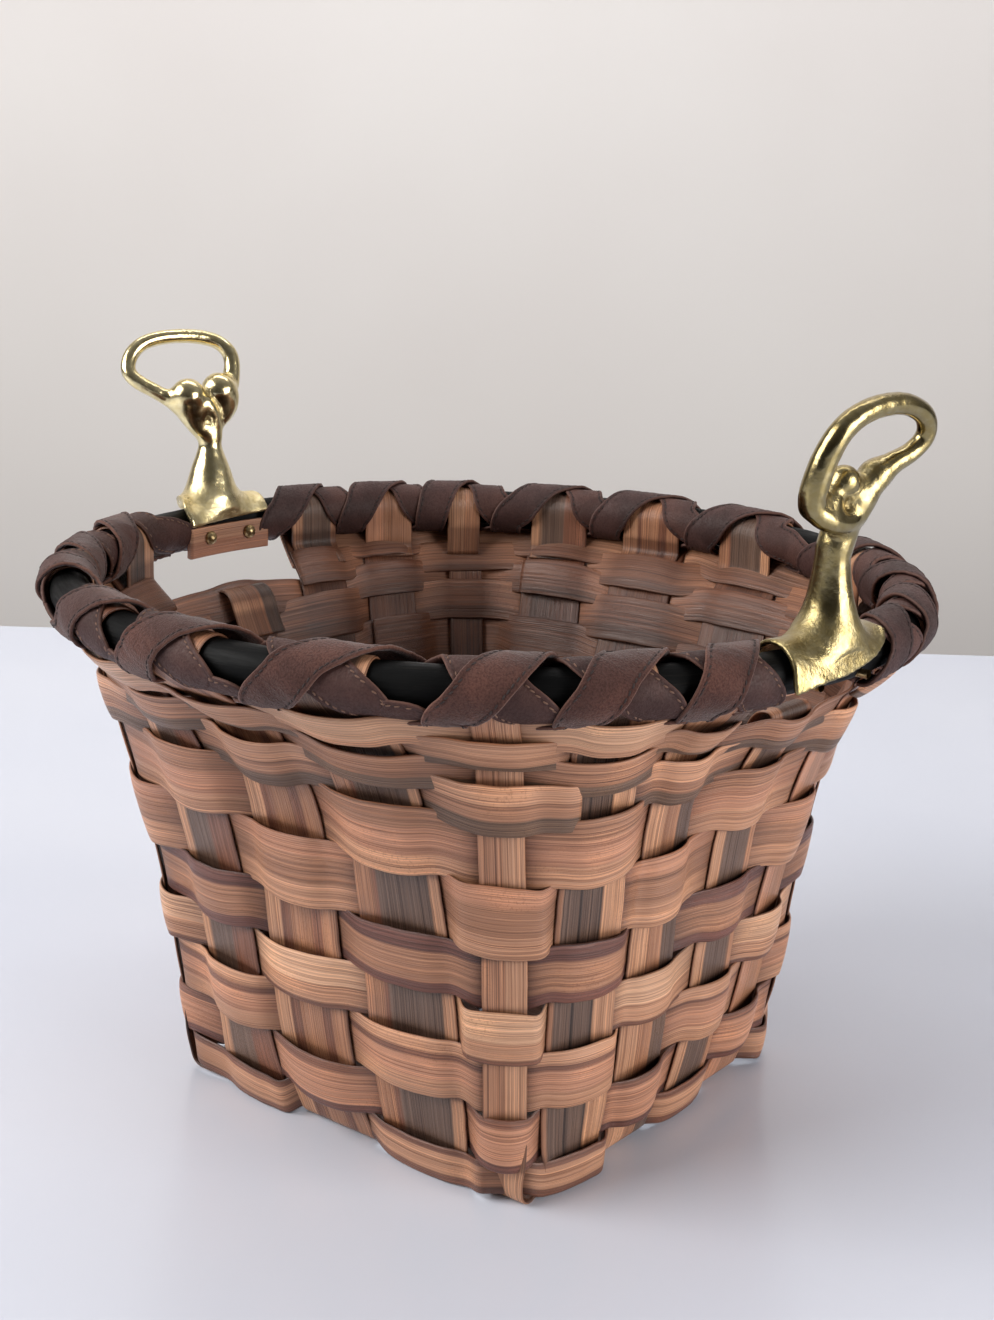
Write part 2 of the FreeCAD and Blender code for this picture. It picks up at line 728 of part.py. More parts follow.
def on_rim(r, theta):
    a = math.radians(theta)
    return V(RR + r * math.cos(a), 0, RH + r * math.sin(a))


def saddle(az):
    """Half-pipe shell over the top and outside of the rim hoop, with a skirt."""
    low = dim("skirt_low")
    edges = [
        Part.Arc(on_rim(SO, 118), on_rim(SO, 60), on_rim(SO, 0)).toShape(),
        Part.LineSegment(on_rim(SO, 0), V(RR + SO + 1.6, 0, low)).toShape(),
        Part.LineSegment(V(RR + SO + 1.6, 0, low), V(RR + SI + 0.8, 0, low)).toShape(),
        Part.LineSegment(V(RR + SI + 0.8, 0, low), on_rim(SI, 0)).toShape(),
        Part.Arc(on_rim(SI, 0), on_rim(SI, 60), on_rim(SI, 118)).toShape(),
        Part.LineSegment(on_rim(SI, 118), on_rim(SO, 118)).toShape(),
    ]
    face = Part.Face(Part.Wire(edges))
    arc = dim("saddle_angle")
    face.rotate(V(0, 0, 0), V(0, 0, 1), az - arc / 2.0)
    return face.revolve(V(0, 0, 0), V(0, 0, 1), arc)


def stem(az):
    """Flared foot, neck and shoulder under the knot."""
    levels = [(199.6, 25.0, 6.2, 0.0), (206.0, 15.0, 6.6, 0.4), (214.0, 9.6, 6.2, 0.8),
              (224.0, 6.6, 5.6, 1.2), (234.0, 6.2, 5.4, 1.8), (243.0, 10.0, 6.4, 3.0)]
    wires = []
    for z, a, b, out in levels:
        e = Part.Ellipse(V(0, 0, 0), a, b).toShape()
        e.rotate(V(0, 0, 0), V(0, 0, 1), 90)
        e.translate(V(RR + out, 0, z))
        wires.append(Part.Wire([e]))
    s = Part.makeLoft(wires, True)
    s.rotate(V(0, 0, 0), V(0, 0, 1), az)
    return s


def make_handle(label, az, side):
    """One casting: saddle, stem, two-lobed knot and leaning finger loop."""
    names = []
    body = add_feature(label + "_saddle", saddle(az))
    neck = add_feature(label + "_stem", stem(az))
    names += [body, neck]
    a = math.radians(az)
    er, et = V(math.cos(a), math.sin(a), 0), V(-math.sin(a), math.cos(a), 0)
    for k, s in enumerate((-1.0, 1.0)):
        ball = doc.addObject("Part::Sphere", "%s_lobe_%d" % (label, k + 1))
        ball.setExpression("Radius", "Dimensions.knot_ball")
        c = er * dim("knot_out") + et * (s * dim("knot_apart")) + V(0, 0, dim("knot_height"))
        # the ball's seam and poles lie in the casting, not on the seen side
        ball.Placement = FreeCAD.Placement(c, FreeCAD.Rotation(V(0, 0, 1), er))
        names.append(ball)
    # finger loop: a stadium of round bar in a plane that leans outwards
    lean, tilt = math.radians(dim("loop_lean")), math.radians(dim(side + "_loop_tilt"))
    turn = math.radians(dim(side + "_loop_turn"))
    out0 = er * math.cos(turn) - et * math.sin(turn)
    run0 = et * math.cos(turn) + er * math.sin(turn)
    up0 = out0 * math.sin(lean) + V(0, 0, math.cos(lean))
    long_dir = run0 * math.cos(tilt) + up0 * math.sin(tilt)
    up = up0 * math.cos(tilt) - run0 * math.sin(tilt)
    normal = long_dir.cross(up)
    rot = FreeCAD.Rotation(long_dir, up, normal, "ZXY")
    centre = er * dim("loop_out") + et * dim("loop_aside") + V(0, 0, dim("loop_height"))
    for k, s in enumerate((1.0, -1.0)):
        end = doc.addObject("Part::Torus", "%s_loop_end_%d" % (label, k + 1))
        end.setExpression("Radius1", "Dimensions.loop_round")
        end.setExpression("Radius2", "Dimensions.loop_bar")
        half_turn = FreeCAD.Rotation(V(0, 0, 1), -90.0 if s > 0 else 90.0)
        end.Angle3 = 180.0
        end.Placement = FreeCAD.Placement(centre + long_dir * (s * dim("loop_half")), rot * half_turn)
        names.append(end)
        side = doc.addObject("Part::Cylinder", "%s_loop_side_%d" % (label, k + 1))
        side.setExpression("Radius", "Dimensions.loop_bar")
        side.setExpression("Height", "Dimensions.loop_half * 2")
        lay = FreeCAD.Rotation(V(0, 1, 0), 90.0)
        side.Placement = FreeCAD.Placement(
            centre + up * (s * dim("loop_round")) - long_dir * dim("loop_half"), rot * lay)
        names.append(side)
    fuse = doc.addObject("Part::MultiFuse", label + "_casting")
    fuse.Shapes = names
    # blind holes in the skirt for the pin tips
    drills = []
    for k, s in enumerate((-1.0, 1.0)):
        pa = math.radians(az + s * dim("pin_spread"))
        pr = V(math.cos(pa), math.sin(pa), 0)
        hole = doc.addObject("Part::Cylinder", "%s_pin_hole_%d" % (label, k + 1))
        hole.setExpression("Radius", "Dimensions.pin_shank")
        hole.setExpression("Height", "Dimensions.pin_tip - 150")
        hole.Placement = FreeCAD.Placement(pr * 150.0 + V(0, 0, dim("pin_height")),
                                           FreeCAD.Rotation(V(0, 0, 1), pr))
        drills.append(hole)
    both = doc.addObject("Part::MultiFuse", label + "_pin_holes")
    both.Shapes = drills
    cut = doc.addObject("Part::Cut", label)
    cut.Base = fuse
    cut.Tool = both
    cut.Label = label
    return keep(cut)


def make_backing(label, az):
    """Curved wood strip inside the rim that the pins clamp."""
    body = doc.addObject("PartDesign::Body", label + "_body")
    plane = [f for f in body.Origin.OriginFeatures if f.Role == "XZ_Plane"][0]
    sk = body.newObject("Sketcher::SketchObject", label + "_section")
    sk.AttachmentSupport = [(plane, "")]
    sk.MapMode = "FlatFace"
    import Sketcher
    x0, x1 = dim("backing_in"), dim("backing_out")
    z0, z1 = dim("backing_low"), dim("backing_high")
    sk.addGeometry([Part.LineSegment(V(x0, z0, 0), V(x1, z0, 0)), Part.LineSegment(V(x1, z0, 0), V(x1, z1, 0)),
                    Part.LineSegment(V(x1, z1, 0), V(x0, z1, 0)), Part.LineSegment(V(x0, z1, 0), V(x0, z0, 0))], False)
    for a, b in ((0, 1), (1, 2), (2, 3), (3, 0)):
        sk.addConstraint(Sketcher.Constraint("Coincident", a, 2, b, 1))
    sk.addConstraint([Sketcher.Constraint("Horizontal", 0), Sketcher.Constraint("Vertical", 1),
                      Sketcher.Constraint("Horizontal", 2), Sketcher.Constraint("Vertical", 3)])
    for geo, pos, axis, alias in ((0, 1, "DistanceX", "backing_in"), (0, 2, "DistanceX", "backing_out"),
                                  (0, 1, "DistanceY", "backing_low"), (2, 1, "DistanceY", "backing_high")):
        c = sk.addConstraint(Sketcher.Constraint(axis, -1, 1, geo, pos, dim(alias)))
        sk.setExpression("Constraints[%d]" % c, "Dimensions." + alias)
    doc.recompute()
    rev = body.newObject("PartDesign::Revolution", label + "_arc")
    rev.Profile = sk
    rev.ReferenceAxis = (sk, ["V_Axis"])
    rev.Midplane = True
    rev.setExpression("Angle", "Dimensions.backing_angle")
    body.Tip = rev
    body.Placement = FreeCAD.Placement(V(0, 0, 0), FreeCAD.Rotation(V(0, 0, 1), az))
    doc.recompute()
    drills = []
    for k, s in enumerate((-1.0, 1.0)):
        pa = math.radians(az + s * dim("pin_spread"))
        pr = V(math.cos(pa), math.sin(pa), 0)
        hole = doc.addObject("Part::Cylinder", "%s_hole_%d" % (label, k + 1))
        hole.setExpression("Radius", "Dimensions.pin_shank")
        hole.Height = 14.0
        hole.Placement = FreeCAD.Placement(pr * 134.0 + V(0, 0, dim("pin_height")),
                                           FreeCAD.Rotation(V(0, 0, 1), pr))
        drills.append(hole)
    both = doc.addObject("Part::MultiFuse", label + "_holes")
    both.Shapes = drills
    cut = doc.addObject("Part::Cut", label)
    cut.Base = body
    cut.Tool = both
    cut.Label = label
    return keep(cut)


def make_pins(label, az):
    """Two dome-headed pins, from the face of the backing strip to the skirt."""
    solids = []
    for k, s in enumerate((-1.0, 1.0)):
        pa = math.radians(az + s * dim("pin_spread"))
        pr = V(math.cos(pa), math.sin(pa), 0)
        r0 = dim("backing_in") - 0.15
        base = pr * r0 + V(0, 0, dim("pin_height"))
        dome = doc.addObject("Part::Sphere", "%s_dome_%d" % (label, k + 1))
        dome.setExpression("Radius", "Dimensions.pin_head")
        dome.Angle1 = 0.0
        dome.Placement = FreeCAD.Placement(base, FreeCAD.Rotation(V(0, 0, 1), pr * -1.0))
        shank = doc.addObject("Part::Cylinder", "%s_shank_%d" % (label, k + 1))
        shank.setExpression("Radius", "Dimensions.pin_shank - 0.02")
        shank.setExpression("Height", "Dimensions.pin_tip - Dimensions.backing_in + 0.1")
        shank.Placement = FreeCAD.Placement(base, FreeCAD.Rotation(V(0, 0, 1), pr))
        pin = doc.addObject("Part::Fuse", "%s_pin_%d" % (label, k + 1))
        pin.Base = dome
        pin.Tool = shank
        solids.append(pin)
    group = doc.addObject("Part::Compound", label)
    group.Links = solids
    group.Label = label
    return keep(group)


for side, az in HANDLES:
    make_handle(side + "_handle", az, side)
    make_backing(side + "_backing_strip", az)
    make_pins(side + "_handle_pins", az)

# ---------------------------------------------------------------- checks and files
doc.recompute()
bad = []
for obj in doc.Objects:
    if "Invalid" in obj.State or "Error" in obj.State:
        bad.append("%s: %s" % (obj.Label, obj.State))
for obj in PIECES:
    if obj.Shape.isNull() or not obj.Shape.isValid():
        bad.append("%s: shape null or not valid" % obj.Label)
    elif not obj.Shape.Solids or obj.Shape.Volume <= 0:
        bad.append("%s: no solid" % obj.Label)
if bad:
    raise RuntimeError("; ".join(bad))

os.makedirs("parts", exist_ok=True)
for obj in PIECES:
    obj.Shape.exportStep("parts/%s.step" % obj.Label)
    print("%-24s solids %d  volume %.1f mm3" % (obj.Label, len(obj.Shape.Solids), obj.Shape.Volume))
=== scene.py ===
import math
import bpy
import numpy as np
from mathutils import Matrix, Vector


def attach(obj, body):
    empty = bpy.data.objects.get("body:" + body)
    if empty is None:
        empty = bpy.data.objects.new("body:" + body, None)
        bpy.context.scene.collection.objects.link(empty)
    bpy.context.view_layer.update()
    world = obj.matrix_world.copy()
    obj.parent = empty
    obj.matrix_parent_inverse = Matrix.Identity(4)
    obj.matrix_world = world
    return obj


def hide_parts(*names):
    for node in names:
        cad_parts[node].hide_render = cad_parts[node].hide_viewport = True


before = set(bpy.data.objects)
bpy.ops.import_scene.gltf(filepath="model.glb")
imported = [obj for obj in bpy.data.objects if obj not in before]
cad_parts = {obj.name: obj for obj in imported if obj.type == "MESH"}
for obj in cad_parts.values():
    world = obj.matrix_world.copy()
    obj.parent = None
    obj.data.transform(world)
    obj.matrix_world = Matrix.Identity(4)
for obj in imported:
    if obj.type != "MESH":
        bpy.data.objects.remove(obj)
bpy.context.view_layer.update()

# All shapes are worked out in millimetres and put into the scene in metres.
MM = 0.001

# ------------------------------------------------------------------ numbers
S = 80.6                    # half side of the square base
BX, BY = 2.7, 1.9           # base centre against rim centre
RR, RH, RT = 150.0, 191.0, 7.0
T = 1.1                     # splint thickness
LIFT, BEND = 1.5, 5.0
COLLAR = RT + 0.15 + T / 2
Z_FLARE = 166.0
ST, SW, SP = 1.35, 14.8, 6.4
HUG = COLLAR + T / 2 + 0.15
LOW = RT + 0.45
HANDLES = (("right", -9.0), ("left", 178.0))

UPRIGHTS = [
    ("C0", 71.0, -S, -52.0, 14.5, True), ("R1", S, -57.0, -38.5, 28.0, True),
    ("R2", S, -22.6, -25.0, 26.5, True), ("R3", S, 11.8, -4.0, 27.0, False),
    ("R4", S, 43.5, 17.0, 25.0, True), ("C1", S, 71.0, 50.0, 14.5, True),
    ("N1", 38.7, S, 79.0, 36.0, True), ("N2", -4.7, S, 98.0, 34.0, True),
    ("N3", -41.8, S, 115.0, 32.0, True), ("C2", -71.0, S, 132.0, 14.5, True),
    ("M1", -S, 46.5, 145.5, 27.0, True), ("M2", -S, 15.5, 159.5, 27.0, True),
    ("M3", -S, -15.5, 179.0, 27.0, False), ("M4", -S, -46.5, 200.0, 27.0, True),
    ("C3", -S, -73.0, 229.0, 13.0, True), ("L3", -41.8, -S, 252.0, 32.0, True),
    ("L2", -4.7, -S, 269.0, 35.0, True), ("L1", 38.7, -S, 289.0, 37.0, True),
]
NU = len(UPRIGHTS)
INDEX = {u[0]: i for i, u in enumerate(UPRIGHTS)}

# ------------------------------------------------------------------ curves


def monotone(xs, ys):
    """Monotone cubic through a table of values."""
    n = len(xs)
    h = [xs[i + 1] - xs[i] for i in range(n - 1)]
    d = [(ys[i + 1] - ys[i]) / h[i] for i in range(n - 1)]
    m = [d[0]] + [0.0] * (n - 2) + [d[-1]]
    for i in range(1, n - 1):
        if d[i - 1] * d[i] > 0:
            w1, w2 = 2 * h[i] + h[i - 1], h[i] + 2 * h[i - 1]
            m[i] = (w1 + w2) / (w1 / d[i - 1] + w2 / d[i])

    def f(x):
        if x <= xs[0]:
            return ys[0]
        if x >= xs[-1]:
            return ys[-1]
        i = 0
        while x > xs[i + 1]:
            i += 1
        t = (x - xs[i]) / h[i]
        return ((1 + 2 * t) * (1 - t) ** 2 * ys[i] + t * (1 - t) ** 2 * h[i] * m[i]
                + t * t * (3 - 2 * t) * ys[i + 1] + t * t * (t - 1) * h[i] * m[i + 1])
    return f


def spline(t, y, q):
    """Natural cubic through rows y at t, read at q."""
    t, q = np.asarray(t, float), np.asarray(q, float)
    y = np.asarray(y, float)
    flat = y.reshape(len(t), -1)
    n, h = len(t), np.diff(t)
    a, b = np.zeros((n, n)), np.zeros_like(flat)
    a[0, 0] = a[-1, -1] = 1.0
    for i in range(1, n - 1):
        a[i, i - 1], a[i, i], a[i, i + 1] = h[i - 1], 2 * (h[i - 1] + h[i]), h[i]
        b[i] = 6 * ((flat[i + 1] - flat[i]) / h[i] - (flat[i] - flat[i - 1]) / h[i - 1])
    m = np.linalg.solve(a, b)
    i = np.clip(np.searchsorted(t, q, side="right") - 1, 0, n - 2)
    hh = h[i][:, None]
    u, v = (t[i + 1] - q)[:, None] / hh, (q - t[i])[:, None] / hh
    out = u * flat[i] + v * flat[i + 1] + ((u ** 3 - u) * m[i] + (v ** 3 - v) * m[i + 1]) * hh ** 2 / 6
    return out.reshape((len(q),) + y.shape[1:])


def wobble(x, seed, scale, terms=5):
    """Smooth random line with values about -1 to 1."""
    r = np.random.RandomState(seed)
    out = np.zeros_like(np.asarray(x, float))
    for k in range(terms):
        f = (0.6 + 1.4 * r.rand()) / scale
        out = out + np.sin(2 * np.pi * (f * np.asarray(x, float) + r.rand())) * (0.5 + 0.5 * r.rand())
    return out / math.sqrt(terms)


def wobble2(x, y, seed, sx, sy, terms=7):
    r = np.random.RandomState(seed)
    out = np.zeros(np.broadcast(x, y).shape)
    for k in range(terms):
        fx, fy = (0.4 + 1.2 * r.rand()) / sx, (0.4 + 1.2 * r.rand()) / sy * (1 if r.rand() > 0.5 else -1)
        out = out + np.sin(2 * np.pi * (fx * x + fy * y + r.rand())) * (0.5 + 0.5 * r.rand())
    return out / math.sqrt(terms)


# ------------------------------------------------------------------ the wall
flare_corner = monotone([0, 45, 90, 130, 160, 191], [0, .155, .325, .554, .743, 1])
flare_face = monotone([0, 45, 90, 130, 160, 191], [0, .173, .267, .383, .612, 1])


def base_xy(i):
    return UPRIGHTS[i][1] + BX, UPRIGHTS[i][2] + BY


def profile_xy(i, z):
    bx, by = base_xy(i)
    a = math.radians(UPRIGHTS[i][3])
    tx, ty = RR * math.cos(a), RR * math.sin(a)
    e = min(abs(UPRIGHTS[i][1]), abs(UPRIGHTS[i][2])) / S
    c = min(1.0, max(0.0, (e - 0.25) / 0.55))
    w = c * flare_corner(z) + (1 - c) * flare_face(z)
    return bx + (tx - bx) * w, by + (ty - by) * w


def tangent_to_rim(i):
    x, y = profile_xy(i, Z_FLARE)
    r = math.hypot(x, y)
    dr, dz = RR - r, RH - Z_FLARE
    dist = math.hypot(dr, dz)
    ang = math.atan2(dz, dr) - math.asin(COLLAR / dist)
    run = math.sqrt(dist * dist - COLLAR * COLLAR)
    return r, r + run * math.cos(ang), Z_FLARE + run * math.sin(ang), ang - math.pi / 2


def wall_xy(i, z):
    if z <= Z_FLARE:
        return profile_xy(i, z)
    r0, r1, z1, _ = tangent_to_rim(i)
    x, y = profile_xy(i, Z_FLARE)
    a0, a1 = math.atan2(y, x), math.radians(UPRIGHTS[i][3])
    while a1 - a0 > math.pi:
        a1 -= 2 * math.pi
    while a0 - a1 > math.pi:
        a1 += 2 * math.pi
    k = (z - Z_FLARE) / (z1 - Z_FLARE)
    r, a = r0 + (r1 - r0) * k, a0 + (a1 - a0) * min(1.0, k)
    return r * math.cos(a), r * math.sin(a)


def section_frame(i, z):
    """Middle of upright i at height z, tangent and true outward normal."""
    x, y = wall_xy(i, z)
    xa, ya = wall_xy((i - 1) % NU, z)
    xb, yb = wall_xy((i + 1) % NU, z)
    la, lb = math.hypot(x - xa, y - ya), math.hypot(xb - x, yb - y)
    tx = (x - xa) / la / la + (xb - x) / lb / lb
    ty = (y - ya) / la / la + (yb - y) / lb / lb
    n = math.hypot(tx, ty)
    t = np.array([tx / n, ty / n, 0.0])
    flat = np.array([t[1], -t[0], 0.0])
    x2, y2 = wall_xy(i, z + 1.0)
    slope = (x2 - x) * flat[0] + (y2 - y) * flat[1]
    nrm = flat - np.array([0, 0, slope])
    return np.array([x, y, z]), t, nrm / np.linalg.norm(nrm)


def upright_width(i, z):
    w = UPRIGHTS[i][4]
    return w * (1.0 - 0.20 * (min(z, RH) / RH) ** 2) if w > 20 else w


# ------------------------------------------------------------------ meshes


def put_mesh(name, verts, faces, attrs=None, smooth=True):
    me = bpy.data.meshes.new(name)
    v = np.asarray(verts, float) * MM
    quads = np.asarray(faces, np.int32)
    me.vertices.add(len(v))
    me.vertices.foreach_set("co", v.astype(np.float32).ravel())
    k = quads.shape[1]
    me.loops.add(quads.size)
    me.loops.foreach_set("vertex_index", quads.ravel())
    me.polygons.add(len(quads))
    me.polygons.foreach_set("loop_start", np.arange(0, quads.size, k, dtype=np.int32))
    me.polygons.foreach_set("loop_total", np.full(len(quads), k, dtype=np.int32))
    me.update(calc_edges=True)
    for key, val in (attrs or {}).items():
        val = np.asarray(val, np.float32)
        if val.ndim == 2:
            a = me.attributes.new(key, "FLOAT_VECTOR", "POINT")
            a.data.foreach_set("vector", val.ravel())
        else:
            a = me.attributes.new(key, "FLOAT", "POINT")
            a.data.foreach_set("value", val)
    me.polygons.foreach_set("use_smooth", np.full(len(quads), smooth))
    me.validate()
    ob = bpy.data.objects.new(name, me)
    bpy.context.scene.collection.objects.link(ob)
    return ob


def piece(ob, mat, slot, *nodes):
    ob.data.materials.append(mat)
    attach(ob, "root")
    if nodes:
        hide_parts(*nodes)
    return ob


ACROSS = np.array([-1, -.972, -.93, -.82, -.62, -.34, 0, .34, .62, .82, .93, .972, 1])


def edge_profile(v):
    k = np.clip((np.abs(v) - 0.93) / 0.07, 0, 1)
    return np.maximum(np.sqrt(np.maximum(0, 1 - k * k)), 0.28)


def strip_mesh(name, mid, flip, seed, thick=T, cols=ACROSS, rough=0.0, crease=None):
    """Solid ribbon about a middle surface, stations by points across."""
    n, m = mid.shape[:2]
    ds = np.gradient(mid, axis=0)
    dv = np.gradient(mid, axis=1)
    nrm = np.cross(ds, dv) * (-1.0 if flip else 1.0)
    nrm /= np.maximum(np.linalg.norm(nrm, axis=2, keepdims=True), 1e-9)
    half = thick / 2 * edge_profile(cols)[None, :, None]
    centre = mid[:, m // 2]
    along = np.concatenate([[0], np.cumsum(np.linalg.norm(np.diff(centre, axis=0), axis=1))])
    wide = np.concatenate([[0], np.cumsum(np.linalg.norm(np.diff(mid[n // 2], axis=0), axis=1))])
    wide = wide - wide[-1] / 2
    if rough:
        a2, c2 = np.meshgrid(along, wide, indexing="ij")
        mid = mid + nrm * (wobble2(a2, c2, seed + 5, 34.0, 900.0) * rough)[:, :, None]
    outer, inner = mid + nrm * half, mid - nrm * half
    ring = np.concatenate([outer, inner[:, ::-1]], axis=1)
    k = 2 * m
    verts = ring.reshape(-1, 3)
    idx = np.arange(n * k).reshape(n, k)
    a, b = idx[:-1], idx[1:]
    an, bn = np.roll(a, -1, axis=1), np.roll(b, -1, axis=1)
    if flip:
        quads = np.stack([a, an, bn, b], axis=2).reshape(-1, 4)
    else:
        quads = np.stack([a, b, bn, an], axis=2).reshape(-1, 4)
    caps = []
    for row, first in ((idx[0], True), (idx[-1], False)):
        for j in range(m - 1):
            q = [row[j], row[j + 1], row[k - 2 - j], row[k - 1 - j]]
            caps.append(q if first != flip else q[::-1])
    faces = np.concatenate([quads, np.array(caps)])
    al = np.repeat(along[:, None], k, axis=1)
    v2 = np.concatenate([cols, cols[::-1]])
    w2 = np.concatenate([wide, wide[::-1]])
    strip = np.stack([al * MM, np.broadcast_to(w2, (n, k)) * MM, np.full((n, k), (seed % 97) * 0.37)], axis=2)
    side = np.concatenate([np.ones(m), np.zeros(m)])
    # crease: how strongly each station gets the painted shade of the weave's corners
    crease = np.zeros(n) if crease is None else crease
    return put_mesh(name, verts, faces, {
        "strip": strip.reshape(-1, 3),
        "across": np.broadcast_to((v2 + 1) / 2, (n, k)).ravel(),
        "crease": np.broadcast_to(crease[:, None], (n, k)).ravel(),
        "face_out": np.broadcast_to(side, (n, k)).ravel()})


def resample(points, step):
    """Chord lengths of the middle line and evenly spaced places along it."""
    mid = points[:, points.shape[1] // 2]
    t = np.concatenate([[0], np.cumsum(np.maximum(np.linalg.norm(np.diff(mid, axis=0), axis=1), 0.05))])
    return t, np.linspace(0, t[-1], max(8, int(t[-1] / step)))


# ------------------------------------------------------------------ materials


class Nodes:
    """Short way to build a node tree."""

    def __init__(self, name):
        self.mat = bpy.data.materials.new(name)
        self.mat.use_nodes = True
        self.t = self.mat.node_tree
        self.t.nodes.clear()
        self.out = self.t.nodes.new("ShaderNodeOutputMaterial")
        self.bsdf = self.t.nodes.new("ShaderNodeBsdfPrincipled")
        self.t.links.new(self.bsdf.outputs["BSDF"], self.out.inputs["Surface"])

    def put(self, socket, value):
        if isinstance(value, bpy.types.NodeSocket):
            self.t.links.new(value, socket)
        else:
            socket.default_value = value

    def attr(self, name, out="Vector"):
        n = self.t.nodes.new("ShaderNodeAttribute")
        n.attribute_name = name
        return n.outputs[out]

    def math(self, op, a, b=0.0, c=0.0, clamp=False):
        n = self.t.nodes.new("ShaderNodeMath")
        n.operation = op
        n.use_clamp = clamp
        for k, v in enumerate((a, b, c)):
            self.put(n.inputs[k], v)
        return n.outputs[0]

    def scale(self, vec, s):
        n = self.t.nodes.new("ShaderNodeVectorMath")
        n.operation = "MULTIPLY"
        self.put(n.inputs[0], vec)
        n.inputs[1].default_value = s
        return n.outputs[0]

    def noise(self, vec, scale=1.0, detail=3.0, rough=0.55, distort=0.0):
        n = self.t.nodes.new("ShaderNodeTexNoise")
        self.put(n.inputs["Vector"], vec)
        n.inputs["Scale"].default_value = scale
        n.inputs["Detail"].default_value = detail
        n.inputs["Roughness"].default_value = rough
        n.inputs["Distortion"].default_value = distort
        return n.outputs["Fac"]

    def remap(self, v, a, b, c=0.0, d=1.0):
        n = self.t.nodes.new("ShaderNodeMapRange")
        n.interpolation_type = "SMOOTHSTEP"
        self.put(n.inputs["Value"], v)
        for key, val in (("From Min", a), ("From Max", b), ("To Min", c), ("To Max", d)):
            n.inputs[key].default_value = val
        return n.outputs["Result"]

    def ramp(self, fac, stops):
        n = self.t.nodes.new("ShaderNodeValToRGB")
        el = n.color_ramp.elements
        while len(el) < len(stops):
            el.new(0.5)
        for e, (pos, col) in zip(el, stops):
            e.position = pos
            e.color = (*col, 1.0)
        self.put(n.inputs["Fac"], fac)
        return n.outputs["Color"]

    def mix(self, fac, a, b, how="MIX"):
        n = self.t.nodes.new("ShaderNodeMix")
        n.data_type = "RGBA"
        n.blend_type = how
        self.put(n.inputs["Factor"], fac)
        for key, val in (("A", a), ("B", b)):
            s = [x for x in n.inputs if x.name == key and x.type == "RGBA"][0]
            if isinstance(val, bpy.types.NodeSocket):
                self.t.links.new(val, s)
            else:
                s.default_value = (*val, 1.0)
        return [x for x in n.outputs if x.type == "RGBA"][0]

    def bump(self, height, strength, distance, normal=None):
        n = self.t.nodes.new("ShaderNodeBump")
        n.inputs["Strength"].default_value = strength
        n.inputs["Distance"].default_value = distance
        self.put(n.inputs["Height"], height)
        if normal is not None:
            self.put(n.inputs["Normal"], normal)
        return n.outputs["Normal"]


def srgb(r, g, b):
    out = []
    for c in (r, g, b):
        c = c / 255.0
        out.append(c / 12.92 if c <= 0.04045 else ((c + 0.055) / 1.055) ** 2.4)
    return tuple(out)


TAN = srgb(186, 139, 109)
PINK = srgb(182, 131, 103)
LIGHT = srgb(204, 161, 130)
BROWN = srgb(122, 81, 63)
DARK = srgb(44, 33, 29)
GREY = srgb(102, 81, 70)
OLIVE = srgb(106, 81, 64)
PURPLE = srgb(104, 64, 53)


